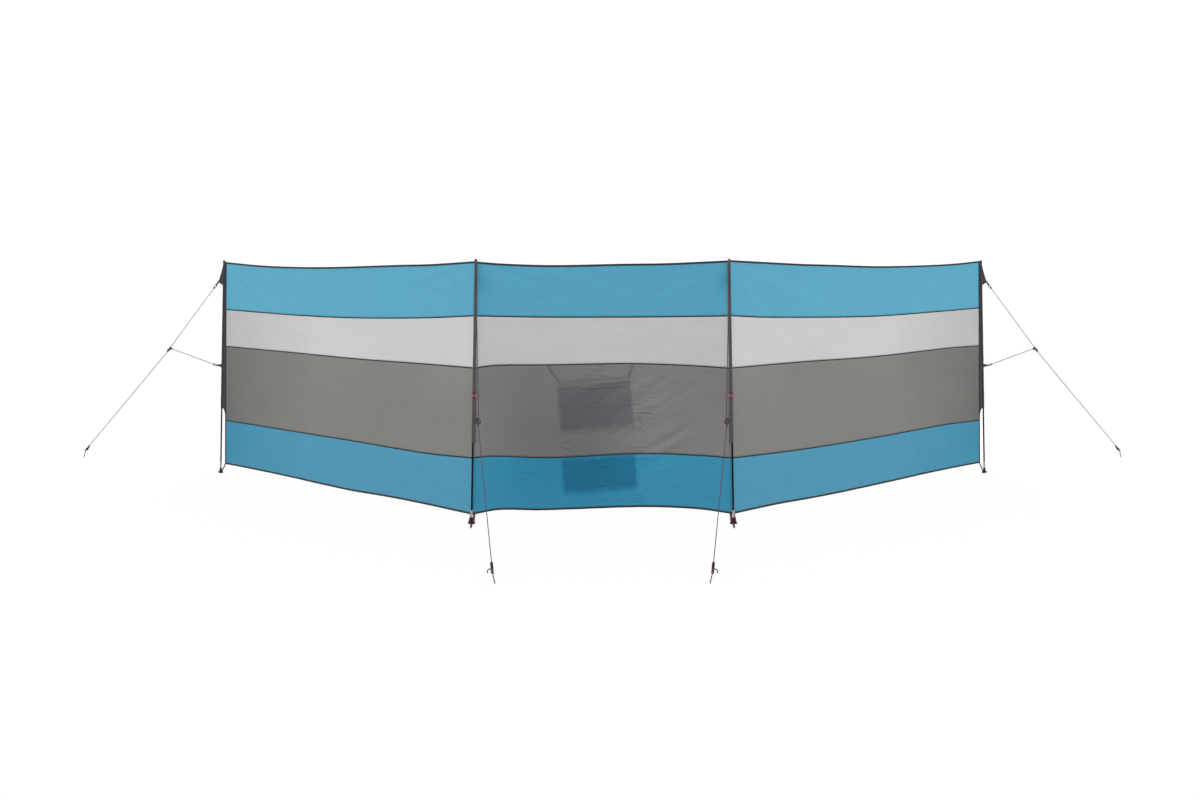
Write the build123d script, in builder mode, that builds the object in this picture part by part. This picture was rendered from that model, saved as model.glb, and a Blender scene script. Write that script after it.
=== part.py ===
import os
from math import cos, hypot, radians, sin, tan

from build123d import *

os.makedirs("parts", exist_ok=True)

# Beach windbreak of three cloth bays on four poles, in millimetres. +X runs to the
# right along the middle bay, +Y to the sheltered side behind it, +Z up. The origin is
# on the ground, at the centre of the footprint that feet and guy pegs cover.

# Plan
middle_bay_width = 1456         # between the front poles at the ground
side_bay_length = 2400          # from a front pole to an end pole
side_bay_sweep = 36.65          # degrees that a side bay turns back
pole_lean = 0.93                # degrees that each pole leans in at its top

# Cloth, from the ground up at the front poles
ground_gap = 50
bottom_blue_height = 315
dark_grey_height = 503
light_grey_height = 292
top_blue_height = 308
end_rises = (18, 1, 15, -17, 5)         # of hem, three seams and top hem at the end poles
side_bows = (-4, -5, -6, -30, -32)      # of the same five edges, halfway along a side bay
middle_bows = (35, 16, 24, -6, -19)     # and halfway along the middle bay
cloth_thickness = 3
binding_thickness = 4.5
hem_width = 12
straight_enough = 0.01          # a bow under this is a straight edge
seam_width = 6
end_binding_width = 12
end_inset_top = 4               # from the end pole's line to the cloth's free edge
end_inset_bottom = 38

# Poles
pole_diameter = 10
cap_skirt = 8
cap_wall = 2.4
cap_rise = 4                    # of the top over the pole's end
cap_shoulder = 3                # bevel round the top
ferrule_length = 40
ferrule_wall = 1.4
slip_fit = 0.1
seat_gap = 0.3                  # between pieces that rest against each other

# Sleeves
sleeve_wall = 1.5
sleeve_bottom = 450
sleeve_flange_top = 5           # width of the sewn flange beside the pole
sleeve_flange_bottom = 11
sleeve_overlap = 6              # of an end sleeve over the cloth's free edge

# Feet
foot_cup_height = 36
foot_cup_radius = 7.4
foot_floor = 6
foot_lobe_radius = 6            # to the flats of an eight-sided lobe
foot_lobe_sides = 8
foot_lobe_spacing = 27
foot_depth = 14

# Webbing at the feet
webbing_width = 9
webbing_thickness = 1.6
webbing_spread = 13             # of a front foot's straps from the pole
tail_heading = -90 + 5          # degrees from +X, on the left
tail_start = 9.9                # from the foot's middle, just clear of its bar
tail_length = 94
tail_tip_width = 5

# Gussets, tabs and guy lines. Each guy runs in an upright plane through its pole.
gusset_thickness = 2
gusset_top_drop = 8             # from the top hem
gusset_bottom_drop = 160
strap_width = 12
strap_length = 34               # from the gusset's corner, in line with the upper leg
tab_height = 26
rope_diameter = 4
rope_sides = 8                  # the cord is modelled with flats
leg_spacing = 10                # of a bridle's two legs on their ring
ring_width = 31
ring_height = 23
ring_wire = 4.5
ring_corner = 5                 # bevelled
tensioner_length = 46
tensioner_width = 13
tensioner_thickness = 4.5
tensioner_corner = 3.5          # bevelled
tensioner_hole = 5
hole_inset = 6.5                # of each of its two holes from its ends
peg_loop_length = 24
peg_wire = 5
wire_sides = 8
peg_lean = 13                   # degrees
peg_shaft_height = 59
peg_hook_radius = 10.5
peg_tip = 5
peg_room = 6                    # from the peg's line to the inside of the loop's end
loop_slack = 2.7                # of the loop beyond the wire's thickness
loop_height = 50                # of the rope's loop on its peg

# Each guy's gusset corner, as a distance out from its pole and a drop from the top hem,
# and its tab tip and ring, as a distance out and a height
front_guy = {"corner": (50, 120), "tab": (48, 722), "ring": (285, 610), "reach": 1117}
end_guy = {"corner": (50, 140), "tab": (58, 747), "ring": (500, 843), "reach": 1370}
front_guy_heading = -90 + 12    # degrees from +X, on the left
end_guy_heading = 180 - 25.5

# Organiser hung behind the middle bay
organiser_centre = -50
organiser_width = 410
organiser_tilt = 4.5            # degrees, its right side up
organiser_wall = 3
pocket_depth = 30
pocket_rim = 806
upper_pocket_height = 286
pocket_spacing = 150            # between the two pockets
lower_pocket_height = 197
organiser_strap_width = 14
pocket_corner = 22
hanger_splays = (58, 21)        # of the left and right strap's top, outward
hanger_top = 888                # where the straps are sewn to the middle seam

# Worked out
turn_back = radians(side_bay_sweep)
lean = tan(radians(pole_lean))
pole_radius = pole_diameter / 2
front_corner = middle_bay_width / 2
sleeve_radius = pole_radius + seat_gap + sleeve_wall
face_gap = binding_thickness / 2 + seat_gap
pole_offset = face_gap + sleeve_radius
edge_heights = [ground_gap]
for band in (bottom_blue_height, dark_grey_height, light_grey_height, top_blue_height):
    edge_heights.append(edge_heights[-1] + band)
hem, lower_seam, middle_seam, upper_seam, top_hem = range(5)
pole_height = edge_heights[top_hem] + cap_skirt     # so that a cap just clears its sleeve
front_guy_depth = pole_offset + front_guy["reach"] * cos(radians(front_guy_heading + 90))
end_guy_depth = side_bay_length * sin(turn_back) + end_guy["reach"] * sin(radians(end_guy_heading))
front_line = (front_guy_depth - end_guy_depth) / 2

pole_way = Vector(lean, 0, 1).normalized()
side_way = Vector(cos(turn_back), -sin(turn_back), 0)
side_out = side_way.cross(Vector(0, 0, 1))
middle_out = Vector(0, -1, 0)
corner_foot = Vector(-front_corner, front_line, 0)
side_plane = Plane(corner_foot, x_dir=side_way, z_dir=side_way.cross(pole_way))
middle_plane = Plane((0, front_line, 0), x_dir=(1, 0, 0), z_dir=(0, -1, 0))
side_lean = side_way.dot(pole_way) / pole_way.Z

front_out = (side_out + middle_out).normalized()
front_foot_at = corner_foot + front_out * (pole_offset / cos(turn_back / 2))
end_foot_at = corner_foot - side_way * side_bay_length + side_out * pole_offset


def upright(foot, heading):
    """The plane that holds a pole and the level heading of its guy."""
    way = Vector(cos(radians(heading)), sin(radians(heading)), 0)
    return Plane(foot, x_dir=way, z_dir=way.cross(pole_way))


def along_pole(foot, height):
    """A plane square to a pole, at a height on it."""
    return Plane(foot + pole_way * height, x_dir=Vector(0, 1, 0).cross(pole_way), z_dir=pole_way)


def mirrored(piece):
    with BuildPart() as twin:
        mirror(piece.part, about=Plane.YZ)
    return twin


def save(piece, name):
    piece.part.label = name
    export_step(piece.part, f"parts/{name}.step")


def save_together(pieces, name):
    with BuildPart() as group:
        for piece in pieces:
            add(piece.part)
    save(group, name)


# Cloth bays

def free_edge(height):
    """How far the cloth's free edge lies inside the end pole's line."""
    share = (edge_heights[top_hem] - height) / (edge_heights[top_hem] - edge_heights[hem])
    return end_inset_top + (end_inset_bottom - end_inset_top) * share


def mitre(thick):
    """How far a strip stops short of a front corner, so that two bays just clear."""
    return thick / 2 * tan(turn_back / 2) + seat_gap / 2


def side_line(height):
    """Where a side bay's two poles stand, across its plane, at a height."""
    return -side_bay_length + side_lean * height, side_lean * height


def middle_line(height):
    return -front_corner + lean * height, front_corner - lean * height


def side_edge(edge, lift, thick, end_gap):
    """One bowed edge of a side bay, cut back at the free edge and at the corner."""
    left_height = edge_heights[edge] + end_rises[edge]
    right_height = edge_heights[edge]
    left = (side_line(left_height)[0], left_height)
    right = (side_line(right_height)[1], right_height)
    start = side_line(left_height + lift)[0] + free_edge(left_height + lift) + end_gap
    finish = side_line(right_height + lift)[1] - mitre(thick)
    return bowed(left, right, side_bows[edge], lift, start, finish)


def middle_edge(edge, lift, thick, end_gap):
    height = edge_heights[edge]
    start, finish = middle_line(height + lift)
    left, right = middle_line(height)
    return bowed((left, height), (right, height), middle_bows[edge], lift,
                 start + mitre(thick) + end_gap, finish - mitre(thick) - end_gap)


def bowed(left, right, bow, lift, start, finish):
    """An arc over the chord from left to right, lifted, and kept from start to finish."""
    span = hypot(right[0] - left[0], right[1] - left[1])
    slope = (right[1] - left[1]) / (right[0] - left[0])

    def height_at(x):
        chord = left[1] + slope * (x - left[0])
        if bow == 0:
            return chord + lift
        radius = (span * span / 4 + bow * bow) / (2 * abs(bow))
        hub = (left[0] + right[0]) / 2, (left[1] + right[1]) / 2
        toward = 1 if bow > 0 else -1
        depth = (radius - abs(bow)) * toward
        hub = hub[0] + slope * depth / hypot(1, slope), hub[1] - depth / hypot(1, slope)
        return hub[1] + toward * (radius * radius - (x - hub[0]) ** 2) ** 0.5 + lift

    middle = (start + finish) / 2
    return [(x, height_at(x)) for x in (start, middle, finish)]


def arc_through(points):
    left, middle, right = points
    chord_middle = (left[1] + right[1]) / 2
    if abs(middle[1] - chord_middle) < straight_enough:
        return Line(left, right)
    return ThreePointArc(left, middle, right)


def strip(plane, ends, low, high, thick, end_gap):
    """A strip of cloth between two bowed edges, each an edge and a lift above it."""
    with BuildPart() as piece:
        with BuildSketch(plane):
            with BuildLine():
                under = arc_through(ends(*low, thick, end_gap))
                over = arc_through(ends(*high, thick, end_gap))
                Line(under @ 0, over @ 0)
                Line(under @ 1, over @ 1)
            make_face()
        extrude(amount=thick / 2, both=True)
    return piece


def bands(plane, ends, end_gap):
    lows = [(hem, hem_width), (lower_seam, seam_width / 2), (middle_seam, seam_width / 2),
            (upper_seam, seam_width / 2)]
    highs = [(lower_seam, -seam_width / 2), (middle_seam, -seam_width / 2),
             (upper_seam, -seam_width / 2), (top_hem, -hem_width)]
    return [strip(plane, ends, low, high, cloth_thickness, end_gap)
            for low, high in zip(lows, highs)]


def bindings(plane, ends, end_gap):
    lows = [(hem, 0), (lower_seam, -seam_width / 2), (middle_seam, -seam_width / 2),
            (upper_seam, -seam_width / 2), (top_hem, -hem_width)]
    highs = [(hem, hem_width), (lower_seam, seam_width / 2), (middle_seam, seam_width / 2),
             (upper_seam, seam_width / 2), (top_hem, 0)]
    return [strip(plane, ends, low, high, binding_thickness, end_gap)
            for low, high in zip(lows, highs)]


def end_binding():
    bottom = side_edge(hem, 0, binding_thickness, 0)[0]
    top = side_edge(top_hem, 0, binding_thickness, 0)[0]
    with BuildPart() as piece:
        with BuildSketch(side_plane):
            with BuildLine():
                Polyline(bottom, top, (top[0] + end_binding_width, top[1]),
                         (bottom[0] + end_binding_width, bottom[1]), close=True)
            make_face()
        extrude(amount=binding_thickness / 2, both=True)
    return piece


band_names = ("bottom_blue", "dark_grey", "light_grey", "top_blue")
side_bands = bands(side_plane, side_edge, end_binding_width + seat_gap)
for band_name, piece in zip(band_names, side_bands):
    save(piece, f"left_bay_{band_name}")
    save(mirrored(piece), f"right_bay_{band_name}")
for band_name, piece in zip(band_names, bands(middle_plane, middle_edge, 0)):
    save(piece, f"middle_bay_{band_name}")

side_bindings = bindings(side_plane, side_edge, end_binding_width + seat_gap) + [end_binding()]
save_together(side_bindings, "left_bay_bindings")
save_together([mirrored(piece) for piece in side_bindings], "right_bay_bindings")
save_together(bindings(middle_plane, middle_edge, 0), "middle_bay_bindings")


# Poles with their caps, ferrules, sleeves and feet

def make_pole(foot):
    with BuildPart() as piece:
        with BuildSketch(along_pole(foot, foot_floor + seat_gap)):
            Circle(pole_radius)
        extrude(amount=pole_height - foot_floor - seat_gap)
    return piece


def make_cap(foot):
    bore = pole_radius + slip_fit
    outer = bore + cap_wall
    roof = pole_height + seat_gap
    with BuildPart() as piece:
        with BuildSketch(along_pole(foot, roof - cap_skirt)):
            Circle(outer)
        extrude(amount=cap_skirt + cap_rise)
        chamfer(piece.edges().filter_by(GeomType.CIRCLE).sort_by(Axis.Z)[-1], cap_shoulder)
        with BuildSketch(along_pole(foot, roof - cap_skirt)):
            Circle(bore)
        extrude(amount=cap_skirt, mode=Mode.SUBTRACT)
    return piece


def make_ferrule(foot):
    bore = pole_radius + slip_fit
    with BuildPart() as piece:
        with BuildSketch(along_pole(foot, foot_cup_height + seat_gap * 2)):
            Circle(bore + ferrule_wall)
            Circle(bore, mode=Mode.SUBTRACT)
        extrude(amount=ferrule_length)
    return piece


def flange(plane, outline):
    """A sleeve's sewn flange, a flat strip on the cloth's outer face."""
    with BuildPart() as piece:
        with BuildSketch(plane.offset(face_gap)):
            with BuildLine():
                Polyline(*outline, close=True)
            make_face()
        extrude(amount=sleeve_wall)
    return piece


def make_sleeve(foot, flanges):
    top = edge_heights[top_hem]
    with BuildPart() as piece:
        with BuildSketch(along_pole(foot, sleeve_bottom)):
            Circle(sleeve_radius)
        extrude(amount=top - sleeve_bottom)
        for plate in flanges:
            add(plate.part)
        with BuildSketch(along_pole(foot, sleeve_bottom - sleeve_radius)):
            Circle(pole_radius + seat_gap)
        extrude(amount=top - sleeve_bottom + sleeve_radius * 2, mode=Mode.SUBTRACT)
    return piece


def front_flanges():
    top = edge_heights[top_hem]
    past_corner = (face_gap + sleeve_wall) * tan(turn_back / 2)
    side = [(side_lean * sleeve_bottom + past_corner, sleeve_bottom),
            (side_lean * sleeve_bottom - sleeve_flange_bottom, sleeve_bottom),
            (side_lean * top - sleeve_flange_top, top), (side_lean * top + past_corner, top)]
    low = -front_corner + lean * sleeve_bottom
    high = -front_corner + lean * top
    middle = [(low - past_corner, sleeve_bottom), (low + sleeve_flange_bottom, sleeve_bottom),
              (high + sleeve_flange_top, top), (high - past_corner, top)]
    return [flange(side_plane, side), flange(middle_plane, middle)]


def end_flange():
    top = edge_heights[top_hem]
    low = -side_bay_length + side_lean * sleeve_bottom
    high = -side_bay_length + side_lean * top
    outline = [(low - sleeve_radius, sleeve_bottom),
               (low + free_edge(sleeve_bottom) + sleeve_overlap, sleeve_bottom),
               (high + free_edge(top) + sleeve_overlap, top), (high - sleeve_radius, top)]
    return flange(side_plane, outline)


def make_foot(foot, along):
    """A cup for the pole on a bar with a lobe at each end."""
    ground = Plane(foot, x_dir=along, z_dir=(0, 0, 1))
    face = Plane(foot, x_dir=along, z_dir=along.cross(Vector(0, 0, 1)))
    with BuildPart() as piece:
        with BuildSketch(ground):
            Circle(foot_cup_radius)
        extrude(amount=foot_cup_height)
        with BuildSketch(face):
            with Locations((0, foot_lobe_radius / 2)):
                Rectangle(foot_lobe_spacing, foot_lobe_radius)
            with Locations((-foot_lobe_spacing / 2, foot_lobe_radius),
                           (foot_lobe_spacing / 2, foot_lobe_radius)):
                RegularPolygon(foot_lobe_radius, foot_lobe_sides, major_radius=False,
                               rotation=180 / foot_lobe_sides)
        extrude(amount=foot_depth / 2, both=True)
        with BuildSketch(along_pole(foot, foot_floor)):
            Circle(pole_radius + slip_fit)
        extrude(amount=foot_cup_height, mode=Mode.SUBTRACT)
    return piece


front_sleeve = make_sleeve(front_foot_at, front_flanges())
end_sleeve = make_sleeve(end_foot_at, [end_flange()])
front_way = front_out.cross(Vector(0, 0, -1))
front_pole = make_pole(front_foot_at)
end_pole = make_pole(end_foot_at)
front_foot = make_foot(front_foot_at, front_way)
end_foot = make_foot(end_foot_at, side_way)
for place, pole, sleeve, foot in (("front", front_pole, front_sleeve, front_foot),
                                  ("end", end_pole, end_sleeve, end_foot)):
    save(pole, f"left_{place}_pole")
    save(mirrored(pole), f"right_{place}_pole")
    save(sleeve, f"left_{place}_sleeve")
    save(mirrored(sleeve), f"right_{place}_sleeve")
    save(foot, f"left_{place}_foot")
    save(mirrored(foot), f"right_{place}_foot")

caps = [make_cap(front_foot_at), make_cap(end_foot_at)]
save_together(caps + [mirrored(piece) for piece in caps], "pole_caps")
ferrules = [make_ferrule(front_foot_at), make_ferrule(end_foot_at)]
save_together(ferrules + [mirrored(piece) for piece in ferrules], "pole_ferrules")


# Webbing from the cloth's lower corners to the feet

def make_strap(start, finish, across):
    """A flat strap between two points, its width along a level direction."""
    way = finish - start
    with BuildPart() as piece:
        with BuildSketch(Plane(start, x_dir=across, z_dir=way)):
            Rectangle(webbing_width, webbing_thickness)
        extrude(amount=way.length)
    return piece


def lobe_top(foot, along, side, clear):
    high = foot_lobe_radius * 2 + clear + seat_gap
    return foot + along * (side * foot_lobe_spacing / 2) + Vector(0, 0, high)


def make_tail(foot):
    """The loose end of webbing that lies on the ground in front of a front foot."""
    way = Vector(cos(radians(tail_heading)), sin(radians(tail_heading)), 0)
    ground = Plane(foot + way * tail_start, x_dir=way, z_dir=(0, 0, 1))
    with BuildPart() as piece:
        with BuildSketch(ground):
            with BuildLine():
                Polyline((0, webbing_width / 2), (tail_length, tail_tip_width / 2),
                         (tail_length, -tail_tip_width / 2), (0, -webbing_width / 2), close=True)
            make_face()
        extrude(amount=webbing_thickness)
    return piece


hang = ground_gap - webbing_thickness
side_hook = side_plane.from_local_coords(Vector(side_lean * hang - webbing_spread, hang, 0))
middle_hook = middle_plane.from_local_coords(
    Vector(-front_corner + lean * hang + webbing_spread, hang, 0))
free_corner = side_edge(hem, 0, binding_thickness, webbing_width)[0]
end_hook = side_plane.from_local_coords(
    Vector(free_corner[0], free_corner[1] - webbing_width / 2, 0))
straps = [make_tail(front_foot_at)]
for hook, foot, along, side, clear, across in (
        (side_hook, front_foot_at, front_way, -1, webbing_thickness / 2, side_way),
        (middle_hook, front_foot_at, front_way, 1, webbing_thickness / 2, Vector(1, 0, 0)),
        (end_hook, end_foot_at, side_way, 1, webbing_thickness, side_way)):
    straps.append(make_strap(hook, lobe_top(foot, along, side, clear), across))
save_together(straps + [mirrored(piece) for piece in straps], "foot_straps")


# Gussets, tabs and guy lines

def lean_in(plane):
    """How far a pole leans across its guy's plane, for each millimetre of height."""
    way = plane.to_local_coords(plane.origin + pole_way)
    return way.X / way.Y


def out_from_pole(plane, place):
    """A place given by its distance from the leaning pole and its height, in the plane."""
    return Vector(place[0] + lean_in(plane) * place[1], place[1])


def gusset_corner(plane, guy):
    reach, drop = guy["corner"]
    return out_from_pole(plane, (reach, edge_heights[top_hem] - drop))


def upper_leg_way(plane, guy):
    return (Vector(*guy["ring"]) - gusset_corner(plane, guy)).normalized()


def make_gusset(plane, guy):
    """The cloth triangle at a pole's top, with the strap that takes the guy's upper leg."""
    near = sleeve_radius + seat_gap
    top = edge_heights[top_hem]
    corner = gusset_corner(plane, guy)
    way = upper_leg_way(plane, guy)
    tip = corner + way * strap_length
    side = Vector(-way.Y, way.X) * (strap_width / 2)
    root = corner - way * strap_width
    with BuildPart() as piece:
        with BuildSketch(plane):
            with BuildLine():
                Polyline(out_from_pole(plane, (near, top - gusset_bottom_drop)), corner,
                         out_from_pole(plane, (near, top - gusset_top_drop)), close=True)
            make_face()
            with BuildLine():
                Polyline(root + side, tip + side, tip - side, root - side, close=True)
            make_face()
        extrude(amount=gusset_thickness / 2, both=True)
    return piece


def make_tab(plane, guy):
    near = sleeve_radius + seat_gap
    height = guy["tab"][1]
    with BuildPart() as piece:
        with BuildSketch(plane):
            with BuildLine():
                Polyline(out_from_pole(plane, (near, height - tab_height / 2)),
                         out_from_pole(plane, guy["tab"]),
                         out_from_pole(plane, (near, height + tab_height / 2)), close=True)
            make_face()
        extrude(amount=gusset_thickness / 2, both=True)
    return piece


def make_rope(start, finish):
    way = finish - start
    with BuildPart() as piece:
        with BuildSketch(Plane(start, z_dir=way)):
            RegularPolygon(rope_diameter / 2, rope_sides)
        extrude(amount=way.length)
    return piece


def make_guy(plane, guy):
    """A bridle's two legs, their ring, the main line, its tensioner, loop and peg."""
    lateral = plane.z_dir
    ring_at = plane.from_local_coords(Vector(*guy["ring"], 0))
    loop_at = plane.from_local_coords(Vector(guy["reach"], loop_height, 0))
    way = (loop_at - ring_at).normalized()
    strap_tip = plane.from_local_coords(
        gusset_corner(plane, guy) + upper_leg_way(plane, guy) * strap_length)
    tab_tip = plane.from_local_coords(out_from_pole(plane, guy["tab"]))
    ring_top = ring_at - way * (ring_height / 2 + rope_diameter / 2)
    upper_end = ring_top - lateral * (leg_spacing / 2)
    lower_end = ring_top + lateral * (leg_spacing / 2)
    upper_start = strap_tip + (upper_end - strap_tip).normalized() * seat_gap
    lower_start = tab_tip + (lower_end - tab_tip).normalized() * seat_gap
    ring_low = ring_at + way * (ring_height / 2 + seat_gap)
    loop_centre = loop_at - way * (peg_loop_length / 2 - rope_diameter - peg_room)
    tensioner_low = loop_centre - way * (peg_loop_length / 2 + seat_gap)
    tensioner_at = tensioner_low - way * (tensioner_length / 2)
    tensioner_high = tensioner_low - way * (tensioner_length + seat_gap)

    flat = Plane(ring_at, x_dir=lateral, z_dir=lateral.cross(way))
    with BuildPart() as ring:
        with BuildSketch(flat) as face:
            Rectangle(ring_width, ring_height)
            chamfer(face.vertices(), ring_corner)
            Rectangle(ring_width - ring_wire * 2, ring_height - ring_wire * 2, mode=Mode.SUBTRACT)
        extrude(amount=ring_wire / 2, both=True)

    along = Plane(tensioner_at, x_dir=way, z_dir=flat.z_dir)
    with BuildPart() as tensioner:
        with BuildSketch(along) as plate:
            Rectangle(tensioner_length, tensioner_width)
            chamfer(plate.vertices(), tensioner_corner)
            with GridLocations(tensioner_length - hole_inset * 2, 0, 2, 1):
                Circle(tensioner_hole / 2, mode=Mode.SUBTRACT)
        extrude(amount=tensioner_thickness / 2, both=True)

    half_width = (peg_wire + loop_slack) / 2 + rope_diameter
    half_length = peg_loop_length / 2
    shoulder = half_length - half_width / 2
    loop_outline = [(-half_length, -half_width / 2), (-shoulder, -half_width), (shoulder, -half_width),
                    (half_length, -half_width / 2), (half_length, half_width / 2),
                    (shoulder, half_width), (-shoulder, half_width), (-half_length, half_width / 2)]
    with BuildPart() as loop:
        with BuildSketch(Plane(loop_centre, x_dir=way, z_dir=flat.z_dir)):
            with BuildLine():
                Polyline(*loop_outline, close=True)
            make_face()
            offset(amount=-rope_diameter, kind=Kind.INTERSECTION, mode=Mode.SUBTRACT)
        extrude(amount=rope_diameter / 2, both=True)

    lines = [make_rope(upper_start, upper_end), make_rope(lower_start, lower_end),
             make_rope(ring_low, tensioner_high), loop]
    return lines, ring, tensioner, make_peg(loop_at, lateral)


def make_peg(loop_at, lateral):
    """A wire peg from the ground up, bent over to a hook."""
    slope = tan(radians(peg_lean))
    level = Vector(lateral.X, lateral.Y, 0).normalized()
    ground_at = Vector(loop_at.X, loop_at.Y, 0) - level * (slope * loop_at.Z)
    plane = Plane(ground_at, x_dir=level, z_dir=level.cross(Vector(0, 0, 1)))
    with BuildPart() as piece:
        with BuildLine(plane):
            shaft = Line((-slope * peg_wire, -peg_wire), (slope * peg_shaft_height, peg_shaft_height))
            hook = JernArc(shaft @ 1, shaft % 1, peg_hook_radius, -180)
            Line(hook @ 1, (hook @ 1) + (hook % 1) * peg_tip)
        with BuildSketch(Plane(shaft @ 0, z_dir=shaft % 0)):
            RegularPolygon(peg_wire / 2, wire_sides)
        sweep()
        split(bisect_by=Plane.XY, keep=Keep.TOP)
    return piece


rings, tensioners, pegs, tabs = [], [], [], []
for place, foot, heading, guy in (("front", front_foot_at, front_guy_heading, front_guy),
                                  ("end", end_foot_at, end_guy_heading, end_guy)):
    plane = upright(foot, heading)
    lines, ring, tensioner, peg = make_guy(plane, guy)
    gusset = make_gusset(plane, guy)
    save(gusset, f"left_{place}_gusset")
    save(mirrored(gusset), f"right_{place}_gusset")
    save_together(lines, f"left_{place}_guy_line")
    save_together([mirrored(line) for line in lines], f"right_{place}_guy_line")
    rings.append(ring)
    tensioners.append(tensioner)
    pegs.append(peg)
    tabs.append(make_tab(plane, guy))
for name, pieces in (("guy_rings", rings), ("guy_tensioners", tensioners), ("guy_pegs", pegs),
                     ("mid_tabs", tabs)):
    save_together(pieces + [mirrored(piece) for piece in pieces], name)


# Organiser behind the middle bay

organiser_turn = radians(organiser_tilt)
rim_at = middle_plane.from_local_coords(Vector(organiser_centre, pocket_rim, -face_gap))
organiser_plane = Plane(rim_at, x_dir=(cos(organiser_turn), 0, sin(organiser_turn)), z_dir=(0, -1, 0))


def make_pocket(rim, height):
    """A pouch with its rim at a height in the organiser's own plane, open at the top."""
    with BuildPart() as piece:
        with BuildSketch(organiser_plane) as pouch:
            with Locations((0, rim - height / 2)):
                Rectangle(organiser_width, height)
            fillet(pouch.vertices().group_by(Axis.Y)[0], pocket_corner)
        extrude(amount=-pocket_depth)
        rim_face = piece.faces().sort_by(Axis.Z)[-1]
        offset(amount=-organiser_wall, openings=rim_face)
    return piece


def make_tape(plane, low, high):
    """A flat tape between two points of a plane, its ends level."""
    half = organiser_strap_width / 2
    with BuildPart() as piece:
        with BuildSketch(plane):
            with BuildLine():
                Polyline((low[0] - half, low[1]), (low[0] + half, low[1]),
                         (high[0] + half, high[1]), (high[0] - half, high[1]), close=True)
            make_face()
        extrude(amount=-webbing_thickness)
    return piece


lower_rim = -upper_pocket_height - pocket_spacing
save(make_pocket(0, upper_pocket_height), "organiser_upper_pocket")
save(make_pocket(lower_rim, lower_pocket_height), "organiser_lower_pocket")
tapes = []
for side, splay in zip((-1, 1), hanger_splays):
    edge = side * (organiser_width - organiser_strap_width) / 2
    tapes.append(make_tape(organiser_plane, (edge, lower_rim + seat_gap),
                           (edge, -upper_pocket_height - seat_gap)))
    seam_at = organiser_plane.to_local_coords(middle_plane.from_local_coords(
        Vector(organiser_centre + edge + side * splay, hanger_top, -face_gap)))
    tapes.append(make_tape(organiser_plane, (edge, seat_gap), (seam_at.X, seam_at.Y)))
save_together(tapes, "organiser_straps")
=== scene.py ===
import bpy
import bmesh
from math import atan2, cos, exp, hypot, pi, radians, sin, tan
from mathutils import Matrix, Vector, noise


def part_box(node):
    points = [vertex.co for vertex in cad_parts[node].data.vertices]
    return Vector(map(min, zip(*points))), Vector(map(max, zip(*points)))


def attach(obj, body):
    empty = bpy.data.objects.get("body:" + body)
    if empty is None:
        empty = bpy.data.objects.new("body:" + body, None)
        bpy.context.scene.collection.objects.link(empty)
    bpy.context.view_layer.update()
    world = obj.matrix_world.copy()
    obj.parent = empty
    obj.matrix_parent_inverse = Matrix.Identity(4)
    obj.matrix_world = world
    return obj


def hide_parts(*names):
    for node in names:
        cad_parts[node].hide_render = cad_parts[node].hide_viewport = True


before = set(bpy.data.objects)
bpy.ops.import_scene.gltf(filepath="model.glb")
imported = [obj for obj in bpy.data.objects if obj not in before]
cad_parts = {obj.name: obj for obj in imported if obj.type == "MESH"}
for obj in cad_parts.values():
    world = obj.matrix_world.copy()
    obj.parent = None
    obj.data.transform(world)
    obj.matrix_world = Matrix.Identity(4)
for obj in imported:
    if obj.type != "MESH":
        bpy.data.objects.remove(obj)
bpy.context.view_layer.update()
print("frame loaded")

# The windbreak's plan, in metres and degrees, as the frame has it. Everything below is
# worked out on the left and turned over for the right.
windbreak = {
    "middleWidth": 1.456,
    "sideLength": 2.4,
    "sweep": 36.65,
    "poleLean": 0.93,
    "topHem": 1.468,
    "faceGap": 0.00255,         # from a bay's plane to the back of its sleeves
    "sleeveRadius": 0.0068,
    "endInset": (0.004, 0.038), # of the cloth's free edge from the end pole, top and bottom
    "tapeThickness": 0.0045,
}
frontY = sum(corner.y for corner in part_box("middle_bay_dark_grey")) / 2
turn = radians(windbreak["sweep"])
lean = tan(radians(windbreak["poleLean"]))
halfFront = windbreak["middleWidth"] / 2
poleOffset = windbreak["faceGap"] + windbreak["sleeveRadius"]
poleWay = Vector((lean, 0, 1)).normalized()
zUp = Vector((0, 0, 1))

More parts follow.
